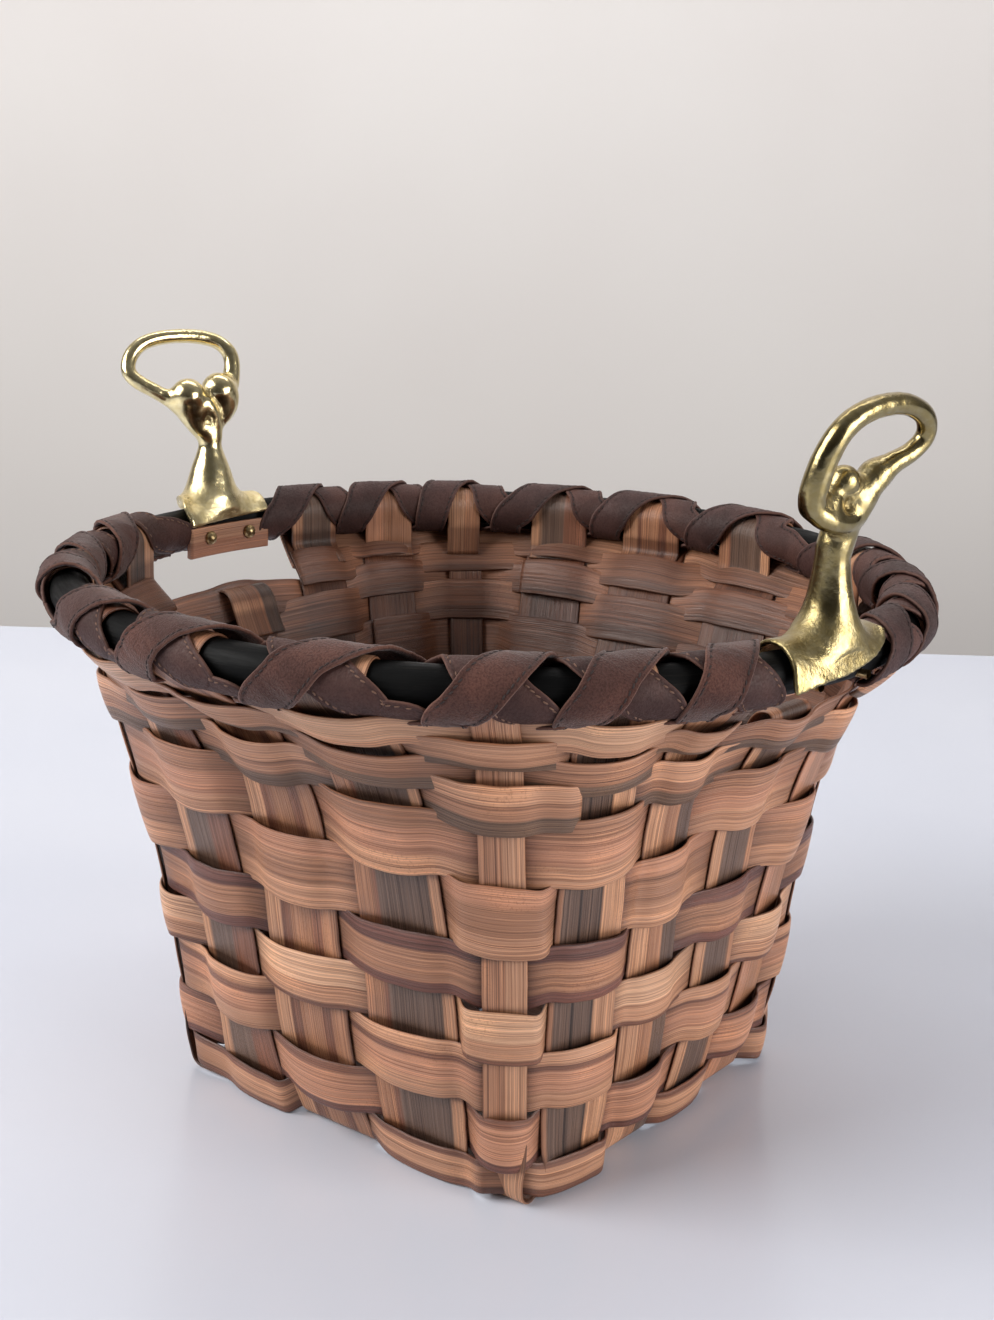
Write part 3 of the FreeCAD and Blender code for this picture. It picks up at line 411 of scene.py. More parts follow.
def wood(name, stops, streak=0.72, fine=0.72, warp=0.09, rough=0.36, inner=0.88):
    """Straight-grained splint. stops: tone across the strip, 0 at one edge, 1 at the other."""
    m = Nodes(name)
    strip = m.attr("strip")
    across = m.attr("across", "Fac")
    wide = m.noise(m.scale(strip, (2.4, 260.0, 3.1)), 1.0, 2.0)
    band = m.noise(m.scale(strip, (1.8, 480.0, 4.9)), 1.0, 3.0, 0.6)
    grain = m.noise(m.scale(strip, (4.2, 1900.0, 7.7)), 1.0, 5.0, 0.7)
    hair = m.noise(m.scale(strip, (9.0, 2500.0, 11.3)), 1.0, 3.0, 0.65)
    pore = m.noise(m.scale(strip, (1300.0, 900.0, 5.3)), 1.0, 2.0, 0.5)
    where = m.noise(m.scale(strip, (24.0, 50.0, 9.1)), 1.0, 3.0)
    place = m.math("ADD", across, m.math("MULTIPLY", m.math("SUBTRACT", wide, 0.5), warp * 2))
    # the inner faces are mixed towards one even darker brown: partly the splints' own inner tone, partly painted shade
    # of the basket's inside
    within = m.math("SUBTRACT", 1.0, m.attr("face_out", "Fac"))
    col = m.mix(m.math("MULTIPLY", within, 0.62), m.ramp(place, stops), srgb(146, 97, 73))

    def times(c, f):
        return m.mix(1.0, c, f, "MULTIPLY")

    col = m.mix(m.remap(band, 0.42, 0.66, 0.0, 0.34), times(col, (1.10, 1.08, 1.06)), times(col, (0.58, 0.50, 0.44)))
    col = m.mix(m.remap(grain, 0.48, 0.62, 0.0, streak * 0.85), col, times(col, (0.50, 0.41, 0.35)))
    col = m.mix(m.remap(hair, 0.50, 0.62, 0.0, fine), col, times(col, (0.50, 0.41, 0.35)))
    col = m.mix(m.remap(hair, 0.47, 0.36, 0.0, 0.6), col, times(col, (1.70, 1.60, 1.46)))
    line = m.remap(grain, 0.62, 0.66, 0.0, 0.8)
    col = m.mix(line, col, times(col, (0.28, 0.20, 0.16)))
    fleck = m.math("MULTIPLY", m.remap(pore, 0.55, 0.66), m.remap(where, 0.50, 0.68, 0.0, 0.45))
    col = m.mix(fleck, col, times(col, (0.52, 0.44, 0.38)))
    col = m.mix(m.remap(where, 0.46, 0.28, 0.0, 0.36), col, times(col, (0.66, 0.58, 0.52)))
    col = m.mix(m.remap(where, 0.52, 0.68, 0.0, 0.60), col, times(col, (1.42, 1.38, 1.28)))
    # painted shade: the inside faces are darkened towards the bottom, where the walls keep the light out; inner sets
    # how far
    geo = m.t.nodes.new("ShaderNodeNewGeometry")
    xyz = m.t.nodes.new("ShaderNodeSeparateXYZ")
    m.put(xyz.inputs[0], geo.outputs["Position"])
    deep = m.math("MULTIPLY", within, m.remap(xyz.outputs["Z"], 0.180, 0.106, 0.10, inner))
    col = m.mix(deep, col, times(col, (0.16, 0.12, 0.10)))
    # painted shade: the corners of the weave, where a strip runs under or beside another, are darkened (crease
    # attribute)
    painted_nook_shade = m.math("MULTIPLY", m.math("POWER", m.attr("crease", "Fac"), 2.4), m.remap(where, 0.25, 0.75, 0.60, 0.95))
    col = m.mix(painted_nook_shade, col, times(col, (0.30, 0.23, 0.20)))
    # painted shade: the strips' edges are darkened, standing in for the shadowed gaps between the strips
    rim = m.math("ABSOLUTE", m.math("SUBTRACT", across, 0.5))
    col = m.mix(m.remap(rim, 0.472, 0.498, 0.0, 0.70), col, times(col, (0.42, 0.34, 0.29)))
    m.put(m.bsdf.inputs["Base Color"], col)
    m.put(m.bsdf.inputs["Roughness"], m.remap(grain, 0.3, 0.7, rough - 0.08, rough + 0.14))
    m.bsdf.inputs["Specular IOR Level"].default_value = 0.50
    h = m.math("ADD", m.math("MULTIPLY", grain, 0.9), m.math("MULTIPLY", hair, 0.55))
    h = m.math("ADD", h, m.math("MULTIPLY", fleck, -0.25))
    m.put(m.bsdf.inputs["Normal"], m.bump(h, 0.62, 0.0006))
    return m.mat


def stripes(*spec):
    """(edge position, colour) list into ramp stops with soft but clear borders."""
    out = []
    for k, (a, b, col) in enumerate(spec):
        out.append((a + (0.02 if k else 0.0), col))
        out.append((b - (0.02 if k < len(spec) - 1 else 0.0), col))
    return out


# ------------------------------------------------------------------ rows of the weave
ROWS = [(0.9, 15.5), (16.1, 36.0), (36.6, 58.4), (59.0, 76.4), (77.0, 98.4), (99.0, 121.9),
        (122.5, 145.6), (146.2, 157.6), (158.2, 165.6), (166.2, 172.3), (172.9, 179.3)]
SEEN = [(8.0, 15.2), (25.4, 21.5), (47.8, 23.5), (66.8, 20.0), (88.0, 22.6), (109.5, 27.5),
        (134.2, 26.5), (151.3, 18.0), (161.4, 13.2), (170.2, 11.8), (177.0, 12.4)]


def passes_outside(row, i):
    return (i + row) % 2 == 1


# ------------------------------------------------------------------ uprights


def upright_path(i, start_dir):
    """Stations (point, width direction, width) from the base run to the tip."""
    name, _, _, az, _, to_rim = UPRIGHTS[i]
    bx, by = base_xy(i)
    d = start_dir
    e0 = np.array([-d[1], d[0], 0.0])
    up = np.array([0, 0, 1.0])
    out = []
    start = np.array([bx, by, T / 2]) - d * BEND
    for k in range(4):
        a = math.radians(k * 26.0)
        p = start + d * (BEND * math.sin(a)) + up * (BEND * (1 - math.cos(a)))
        out.append((p, e0, upright_width(i, 0)))
    tops = [16, 30, 45, 60, 75, 90, 105, 120, 134, 146] + ([156, Z_FLARE] if to_rim else [155, 161])
    for z in tops:
        p, t, n = section_frame(i, z)
        if UPRIGHTS[i][4] < 20:
            p = p + n * (1.2 * min(1.0, z / 30.0) * min(1.0, (Z_FLARE - z) / 12.0))
        k = min(1.0, (z - 4) / 26.0)
        w = e0 * (1 - k) + t * k
        out.append((p, w / np.linalg.norm(w), upright_width(i, z)))
    if to_rim:
        a = math.radians(az)
        er, et = np.array([math.cos(a), math.sin(a), 0]), np.array([-math.sin(a), math.cos(a), 0])
        r0, r1, z1, th0 = tangent_to_rim(i)
        zz = Z_FLARE + (z1 - Z_FLARE) * 0.5
        x, y = wall_xy(i, zz)
        out.append((np.array([x, y, zz]), et, upright_width(i, zz)))
        th1 = math.radians(184.0)
        for k in range(12):
            th = th0 + (th1 - th0) * k / 11
            p = er * (RR + COLLAR * math.cos(th)) + up * (RH + COLLAR * math.sin(th))
            out.append((p, et, upright_width(i, RH)))
        for zz in (186.0, 182.0, 178.0, 174.5, 171.0):
            x, y = wall_xy(i, zz)
            r = min(RR - COLLAR + 0.1, math.hypot(x, y) - 1.5)
            out.append((er * r + up * zz, et, upright_width(i, RH) * 0.97))
    else:
        p, t, n = section_frame(i, 161)
        run = out[-1][0] - out[-2][0]
        run = run / np.linalg.norm(run)
        inn = -np.array([t[1], -t[0], 0.0])
        c = p + run * 5.2 + inn * 3.6
        for k in range(1, 6):
            th = math.pi * k / 5.5
            out.append((c - inn * (3.6 * math.cos(th)) + run * (3.6 * math.sin(th)), t, upright_width(i, 165)))
        last = out[-1][0]
        out.append((last - run * 8.0, t, upright_width(i, 165)))
        out.append((last - run * 18.0, t, upright_width(i, 165)))
    return out


CROSS = [("R1", "M4"), ("R2", "M3"), ("R3", "M2"), ("R4", "M1")]
LONG = [("L1", "N1"), ("L2", "N2"), ("L3", "N3")]
CORNERS = [("C0", "front", (0, 1), ("b", 0), 46.0), ("C1", "right", (-1, 0), ("a", 5), 68.0),
           ("C2", "back", (0, -1), ("b", 4), 60.0), ("C3", "left", (1, 0), ("a", 0), 55.0)]


def high(a, b):
    return (a + b) % 2 == 0


RUNS_X, RUNS_Y = [], []
for a, (n0, n1) in enumerate(CROSS):
    q = [np.array(base_xy(INDEX[n])) for n in (n0, n1)]
    RUNS_X.append((q[0], q[1], max(UPRIGHTS[INDEX[n]][4] for n in (n0, n1)) / 2, a + 1))
for b, (n0, n1) in enumerate(LONG):
    q = [np.array(base_xy(INDEX[n])) for n in (n0, n1)]
    RUNS_Y.append((q[0], q[1], max(UPRIGHTS[INDEX[n]][4] for n in (n0, n1)) / 2, b + 1))
for n, _, inward, place, reach in CORNERS:
    q0 = np.array(base_xy(INDEX[n]))
    run = (q0, q0 + np.array(inward, float) * reach, UPRIGHTS[INDEX[n]][4] / 2, place[1])
    (RUNS_X if place[0] == "a" else RUNS_Y).append(run)


def base_run(q0, q1, w0, w1, along_x, no):
    """Stations across the base that step over and under the other splints."""
    d = (q1 - q0) / np.linalg.norm(q1 - q0)
    length = float(np.linalg.norm(q1 - q0))
    marks = []
    for r0, r1, hw, other in (RUNS_Y if along_x else RUNS_X):
        f = (r1 - r0) / np.linalg.norm(r1 - r0)
        den = d[0] * f[1] - d[1] * f[0]
        s = ((r0[0] - q0[0]) * f[1] - (r0[1] - q0[1]) * f[0]) / den
        t = float((q0 + d * s - r0) @ f)
        if t < -1 or t > np.linalg.norm(r1 - r0) + max(w0, w1) / 2:
            continue
        if s + hw < 1 or s - hw > length - 1:
            continue
        hi = high(no, other) if along_x else not high(other, no)
        marks.append((s, hw, hi))
    marks.sort(key=lambda x: x[0])
    ss, zz = [0.0], [0.0]
    for s, hw, hi in marks:
        for q in (s - hw * 0.96, s + hw * 0.96):
            if 1.0 < q < length - 1.0 and q > ss[-1] + 0.5:
                ss.append(q)
                zz.append(LIFT if hi else 0.0)
    ss.append(length)
    zz.append(LIFT if (marks and marks[-1][2] and marks[-1][0] + marks[-1][1] > length - 3) else 0.0)
    e = np.array([-d[1], d[0], 0.0])
    out = []
    for s in np.arange(1.5, length - 0.7, 3.0):
        z = float(np.interp(s, ss, zz))
        p = np.array([q0[0] + d[0] * s, q0[1] + d[1] * s, T / 2 + z])
        out.append((p, e, w0 + (w1 - w0) * s / length))
    return out


def nook_shade_up(z, i):
    """How far a place on upright i lies in the corner beside or under a weaver: the strength of its painted shade."""
    out = np.zeros_like(z)
    for row, (zc, zw) in enumerate(SEEN):
        if passes_outside(row, i):
            gap = np.maximum(np.abs(z - zc) - zw / 2, 0.0)
            out = np.maximum(out, np.exp(-gap / 1.9))
    return out


def splint_from(name, stations, seed, mat, node, ends=(None, None), step=1.6):
    p = np.array([s[0] for s in stations])
    w = np.array([s[1] for s in stations])
    wide = np.array([s[2] for s in stations])
    t = np.concatenate([[0], np.cumsum(np.maximum(np.linalg.norm(np.diff(p, axis=0), axis=1), 0.05))])
    q = np.linspace(0, t[-1], int(t[-1] / step))
    pp = spline(t, p, q)
    ww = spline(t, w, q)
    ww /= np.linalg.norm(ww, axis=1, keepdims=True)
    wd = np.interp(q, t, wide)
    lo = wd / 2 * (1 + 0.012 * wobble(q, seed, 60.0)) + 0.08 * wobble(q, seed + 1, 17.0)
    hi = wd / 2 * (1 + 0.012 * wobble(q, seed + 2, 60.0)) + 0.08 * wobble(q, seed + 3, 17.0)
    v = ACROSS[None, :]
    off = np.where(v < 0, lo[:, None] * v, hi[:, None] * v)
    mid = pp[:, None, :] + ww[:, None, :] * off[:, :, None]
    mid[:, :, 2] = np.maximum(mid[:, :, 2], T / 2)
    # crease: strength of the painted shade in the weave's corners along the splint
    crease = np.zeros(len(q))
    half_way = int(np.argmin(np.where(pp[:, 2] < 3, np.abs(q - t[-1] / 2), 1e9)))
    for k, i in enumerate(ends):
        if i is not None:
            part = (np.arange(len(q)) < half_way) == (k == 0)
            crease = np.where(part & (pp[:, 2] > 2), nook_shade_up(pp[:, 2], i), crease)
    if ends[0] is None:
        crease = np.where(pp[:, 2] > 2, nook_shade_up(pp[:, 2], ends[1]), 0.0)
    ob = strip_mesh(name, mid, True, seed, rough=0.10, crease=crease)
    return piece(ob, mat, "splint_wood", node)


BEIGE = srgb(184, 139, 109)
FAWN = srgb(160, 115, 88)
UPRIGHT_TONES = {
    "cross_splint_1": stripes((0, .36, BEIGE), (.36, .40, DARK), (.40, .64, GREY), (.64, .68, DARK), (.68, .94, GREY), (.94, 1, FAWN)),
    "cross_splint_2": stripes((0, .30, GREY), (.30, .62, FAWN), (.62, 1, BEIGE)),
    "cross_splint_3": stripes((0, .14, FAWN), (.14, .76, GREY), (.76, 1, BEIGE)),
    "cross_splint_4": stripes((0, .6, FAWN), (.6, 1, PINK)),
    "long_splint_1": stripes((0, .13, BEIGE), (.13, .74, GREY), (.74, .80, BROWN), (.80, 1, FAWN)),
    "long_splint_2": stripes((0, .22, FAWN), (.22, .34, BROWN), (.34, .66, FAWN), (.66, .74, BROWN), (.74, 1, BEIGE)),
    "long_splint_3": stripes((0, .4, BROWN), (.4, .84, GREY), (.84, 1, BEIGE)),
    "corner": stripes((0, .5, FAWN), (.5, 1, BEIGE)),
}
MATS = {}


def tone(key, stops, **kw):
    if key not in MATS:
        MATS[key] = wood("wood_" + key, stops, **kw)
    return MATS[key]


def flipped(stations):
    return [(p, -w, wd) for p, w, wd in reversed(stations)]


for group, along_x, word in ((CROSS, True, "cross"), (LONG, False, "long")):
    for k, (n0, n1) in enumerate(group):
        i0, i1 = INDEX[n0], INDEX[n1]
        q0, q1 = np.array(base_xy(i0)), np.array(base_xy(i1))
        d = (q1 - q0) / np.linalg.norm(q1 - q0)
        d3 = np.array([d[0], d[1], 0.0])
        mid = base_run(q0 + d * BEND, q1 - d * BEND, upright_width(i0, 0), upright_width(i1, 0), along_x, k + 1)
        st = flipped(upright_path(i0, -d3)) + mid + upright_path(i1, d3)
        node = "%s_splint_%d" % (word, k + 1)
        splint_from("splint_%s_%d" % (word, k + 1), st, 100 + 10 * k + (0 if along_x else 50),
                    tone(node, UPRIGHT_TONES[node]), node, (i0, i1))
for k, (n, where, inward, place, reach) in enumerate(CORNERS):
    i = INDEX[n]
    q0 = np.array(base_xy(i))
    d = np.array(inward, float)
    foot = base_run(q0 + d * BEND, q0 + d * reach, UPRIGHTS[i][4], UPRIGHTS[i][4], place[0] == "a", place[1])
    st = [(p, -w, wd) for p, w, wd in reversed(foot)] + upright_path(i, -np.array([d[0], d[1], 0.0]))
    splint_from("stake_" + where, st, 200 + 10 * k, tone("corner", UPRIGHT_TONES["corner"], streak=0.75),
                "corner_stake_" + where, (None, i))

# ------------------------------------------------------------------ weavers
def weaver(name, row, seq, mat, node, lap=False, tail=None, step=1.5):
    """One woven strip. tail: upright over which a cut end lies outside."""
    z0, z1 = ROWS[row]
    zc, zw = SEEN[row]
    rnd = np.random.RandomState(300 + row * 17 + (5 if "back" in name else 0))
    stations, nook_shades = [], []
    cols = ACROSS

    def station(i, f, half, mid_z, hh, off, cup, behind=False):
        pts = []
        for v in cols:
            z = max(mid_z + v * hh, 0.62)
            p, t, n = section_frame(i, z)
            # behind an upright the lowest row follows its bend into the base
            bend = BEND - math.sqrt(max(0.0, BEND ** 2 - (BEND - z) ** 2)) if behind and z < BEND else 0.0
            pts.append(p + t * (f * half) + n * (off - bend - cup * abs(v) ** 2.6))
        return pts

    def reach(i, step, half):
        """Half length of the bulge over a slim stake, up to the next upright's edge."""
        j = (i + step) % NU
        (xa, ya), (xb, yb) = wall_xy(i, zc), wall_xy(j, zc)
        return max(half, min(12.0, math.hypot(xb - xa, yb - ya) - upright_width(j, zc) / 2 - 3.0))

    for k, i0 in enumerate(seq):
        i = i0 % NU
        over = passes_outside(row, i)
        half = upright_width(i, zc) / 2
        slim = UPRIGHTS[i][4] < 20
        full = (3.9 if slim else 5.0) * (0.90 + 0.20 * rnd.rand())
        if row >= 8:
            full *= 0.80
        if row == 0:
            full *= 0.70
        lift_z = rnd.uniform(-0.5, 0.5)
        tip = rnd.uniform(-0.8, 0.8)
        cup = rnd.uniform(0.7, 1.3) * min(1.0, zw / 20.0)
        inset = -(T + 0.5) if (lap and k == len(seq) - 1) else 0.0
        for f in (-1.0, -0.66, -0.33, 0.0, 0.33, 0.66, 1.0):
            body = 1 - abs(f) ** 2.2
            if over:
                span = reach(i, -1 if f < 0 else 1, half) if slim and row > 1 else half
                stations.append(station(i, f, span, zc + lift_z + tip * f, zw / 2 * (0.94 + 0.06 * body),
                                        1.35 + (full - 1.35) * body, cup * (0.35 + 0.65 * body)))
                nook_shades.append(abs(f) ** 5 * 0.40)
            else:
                hh = max((z1 - z0) / 2 + 0.4, zw / 2 * 0.95)
                lower = 1.2 if row == 0 else 0.0
                stations.append(station(i, f, half, (z0 + z1) / 2 + lower, hh - lower / 2,
                                        -(0.7 + 0.3 * body if slim else 1.3 + 1.5 * body) + inset, -0.25, True))
                nook_shades.append(1.0)
    if tail is not None:
        half = upright_width(tail, zc) / 2
        for f, off in ((-0.96, 2.5), (-0.70, 2.3)):
            stations.append(station(tail, f, half, zc - 0.4, zw / 2 * 0.93, off, 0.5))
            nook_shades.append(0.35)
    g = np.array(stations)
    t, q = resample(g, step)
    mid = spline(t, g, q)
    # crease: strength of the painted shade in the weave's corners along the strip
    crease = np.clip(np.interp(q, t, nook_shades), 0, 1)
    # uneven edges
    up = np.array([0, 0, 1.0])
    for sgn, sd in ((-1, 1), (1, 2)):
        w = wobble(q, 400 + row * 7 + sd, 22.0) * 0.10 + wobble(q, 500 + row * 7 + sd, 95.0) * 0.35
        share = np.clip(cols * sgn, 0, 1) ** 2
        mid = mid + up * (w[:, None] * share[None, :])[:, :, None]
    mid[:, :, 2] = np.maximum(mid[:, :, 2], 0.62)
    ob = strip_mesh(name, mid, False, 600 + row * 13 + (7 if "back" in name else 0), rough=0.08, crease=crease)
    return piece(ob, mat, "splint_wood", node)


ROW_TONES = {
    0: stripes((0, .25, BROWN), (.25, .8, TAN), (.8, 1, BROWN)),
    1: stripes((0, .16, PURPLE), (.16, .84, PINK), (.84, 1, BROWN)),
    2: stripes((0, .30, TAN), (.30, .70, PINK), (.70, .80, BROWN), (.80, 1, TAN)),
    3: stripes((0, .12, BROWN), (.12, .50, TAN), (.50, 1, LIGHT)),
    4: stripes((0, .22, PURPLE), (.22, .76, FAWN), (.76, 1, PURPLE)),
    5: stripes((0, .40, TAN), (.40, .75, FAWN), (.75, 1, PINK)),
    6: stripes((0, .35, TAN), (.35, .70, PINK), (.70, 1, FAWN)),
    7: stripes((0, .34, OLIVE), (.34, .62, FAWN), (.62, 1, TAN)),
    8: stripes((0, .34, OLIVE), (.34, 1, FAWN)),
    9: stripes((0, .25, OLIVE), (.25, 1, TAN)),
    10: stripes((0, .3, TAN), (.3, 1, LIGHT)),
}
LAP = ["N2", "N1", "C2", "N3", "N2", "C1", "C2", "N1", "N2"]
for row in range(9):
    start = INDEX[LAP[row]]
    if passes_outside(row, start):
        start += 1
    if row == 7:
        # this hoop is closed at the front: its cut end lies over the upright next to the corner
        weaver("weaver_07", 7, list(range(INDEX["R1"], INDEX["R1"] + NU)), tone("row_07", ROW_TONES[7]),
               "weaver_row_07", tail=INDEX["R1"])
        continue
    weaver("weaver_%02d" % row, row, list(range(start, start + NU + 1)),
           tone("row_%02d" % row, ROW_TONES[row]), "weaver_row_%02d" % row, lap=True)
for row in (9, 10):
    for side, (n0, n1) in (("front", ("M4", "R2")), ("back", ("R4", "M2"))):
        a, b = INDEX[n0], INDEX[n1]
        if b < a:
            b += NU
        weaver("weaver_%s_%02d" % (side, row), row, list(range(a, b + 1)),
               tone("row_%02d" % row, ROW_TONES[row]), "upper_weaver_%s_%02d" % (side, row))

# ------------------------------------------------------------------ rim hoop


def rim_material():
    m = Nodes("rim_black")
    strip = m.attr("strip")
    scuff = m.noise(m.scale(strip, (30.0, 260.0, 1.0)), 1.0, 5.0, 0.65)
    hair = m.noise(m.scale(strip, (60.0, 1500.0, 1.0)), 1.0, 3.0)
    col = m.mix(m.remap(scuff, 0.56, 0.76, 0.0, 0.45), srgb(5, 5, 5), srgb(40, 37, 34))
    col = m.mix(m.remap(hair, 0.62, 0.74, 0.0, 0.16), col, srgb(70, 63, 57))
    m.put(m.bsdf.inputs["Base Color"], col)
    m.put(m.bsdf.inputs["Roughness"], m.remap(scuff, 0.35, 0.7, 0.46, 0.74))
    m.bsdf.inputs["Specular IOR Level"].default_value = 0.10
    h = m.math("ADD", scuff, m.math("MULTIPLY", hair, 0.4))
    m.put(m.bsdf.inputs["Normal"], m.bump(h, 0.4, 0.0006))
    return m.mat


def rim_hoop():
    nu, nv = 360, 28
    u = np.linspace(0, 2 * np.pi, nu, endpoint=False)
    v = np.linspace(0, 2 * np.pi, nv, endpoint=False)
    uu, vv = np.meshgrid(u, v, indexing="ij")
    rad = RT + 0.05 * np.sin(uu * 31 + vv * 2) + 0.05 * np.sin(uu * 57 - vv * 3)
    rad = np.minimum(rad, RT + 0.1)
    x = (RR + rad * np.cos(vv)) * np.cos(uu)
    y = (RR + rad * np.cos(vv)) * np.sin(uu)
    z = RH + rad * np.sin(vv)
    idx = np.arange(nu * nv).reshape(nu, nv)
    a, b = idx, np.roll(idx, -1, axis=0)
    faces = np.stack([a, b, np.roll(b, -1, axis=1), np.roll(a, -1, axis=1)], axis=2).reshape(-1, 4)
    strip = np.stack([np.sin(uu) * 0.15, np.cos(uu) * 0.15 + np.sin(vv) * 0.007, np.cos(vv) * 0.007], axis=2)
    # grain runs along the hoop: angle round the tube across, angle round the hoop along
    strip = np.stack([np.abs(uu - np.pi) * 0.15, np.abs(vv - np.pi) * 0.007, np.zeros_like(uu)], axis=2)
    ob = put_mesh("rim_hoop", np.stack([x, y, z], axis=2).reshape(-1, 3), faces, {"strip": strip.reshape(-1, 3)})
    return piece(ob, rim_material(), "rim_black", "rim_ring")


rim_hoop()

# ------------------------------------------------------------------ lashings


def leather(name, base, worn, deep, suede):
    m = Nodes(name)
    strip = m.attr("strip")
    across = m.attr("across", "Fac")
    big = m.noise(m.scale(strip, (55.0, 70.0, 2.0)), 1.0, 3.0)
    nub = m.noise(m.scale(strip, (1500.0, 1500.0, 3.0)), 1.0, 3.0, 0.6)
    fine = m.noise(m.scale(strip, (2600.0, 2600.0, 5.0)), 1.0, 2.0)
    crease = m.noise(m.scale(strip, (420.0, 90.0, 7.0)), 1.0, 4.0, 0.6, 0.4)
    col = m.mix(m.remap(big, 0.40, 0.68), base, worn)
    col = m.mix(m.remap(nub, 0.42, 0.66, 0.0, 0.55 if suede else 0.30), col, deep)
    col = m.mix(m.remap(fine, 0.45, 0.7, 0.0, 0.30), col, m.mix(1.0, col, (0.5, 0.45, 0.42), "MULTIPLY"))
    edge = m.math("ABSOLUTE", m.math("SUBTRACT", across, 0.5))
    col = m.mix(m.remap(edge, 0.480, 0.499, 0.0, 0.40), col, m.mix(0.4, worn, srgb(150, 108, 88)))
    col = m.mix(m.math("MULTIPLY", m.remap(edge, 0.350, 0.405, 0.0, 1.0), m.remap(edge, 0.455, 0.41, 0.0, 0.5)),
                col, m.mix(1.0, col, (0.42, 0.36, 0.34), "MULTIPLY"))
    m.put(m.bsdf.inputs["Base Color"], col)
    m.put(m.bsdf.inputs["Roughness"], m.remap(nub, 0.3, 0.7, 0.66 if suede else 0.50, 0.92 if suede else 0.74))
    m.bsdf.inputs["Specular IOR Level"].default_value = 0.22 if suede else 0.28
    if suede:
        m.bsdf.inputs["Sheen Weight"].default_value = 0.16
        m.bsdf.inputs["Sheen Roughness"].default_value = 0.5
    h = m.math("ADD", m.math("MULTIPLY", nub, 0.7), m.math("MULTIPLY", fine, 0.3))
    h = m.math("ADD", h, m.math("MULTIPLY", crease, 0.8))
    m.put(m.bsdf.inputs["Normal"], m.bump(h, 0.55 if suede else 0.30, 0.0009))
    return m.mat


def thread(name, col):
    m = Nodes(name)
    geo = m.t.nodes.new("ShaderNodeNewGeometry")
    tw = m.noise(m.scale(geo.outputs["Position"], (2600.0, 2600.0, 2600.0)), 1.0, 2.0)
    m.put(m.bsdf.inputs["Base Color"], m.mix(tw, col, m.mix(1.0, col, (0.45, 0.42, 0.40), "MULTIPLY")))
    m.bsdf.inputs["Roughness"].default_value = 0.7
    m.put(m.bsdf.inputs["Normal"], m.bump(tw, 0.4, 0.0002))
    return m.mat


LEATHER = {
    ("front", "outer"): leather("leather_reddish", srgb(70, 41, 34), srgb(90, 55, 45), srgb(46, 26, 22), True),
    ("front", "inner"): leather("leather_purple", srgb(58, 35, 31), srgb(74, 47, 41), srgb(40, 24, 21), False),
    ("back", "outer"): leather("leather_back_a", srgb(58, 38, 35), srgb(76, 51, 47), srgb(40, 26, 24), False),
    ("back", "inner"): leather("leather_back_b", srgb(66, 41, 36), srgb(86, 57, 50), srgb(45, 28, 24), False),
}
THREAD = {"outer": thread("thread_dark", srgb(46, 27, 23)), "inner": thread("thread_tan", srgb(124, 90, 72))}


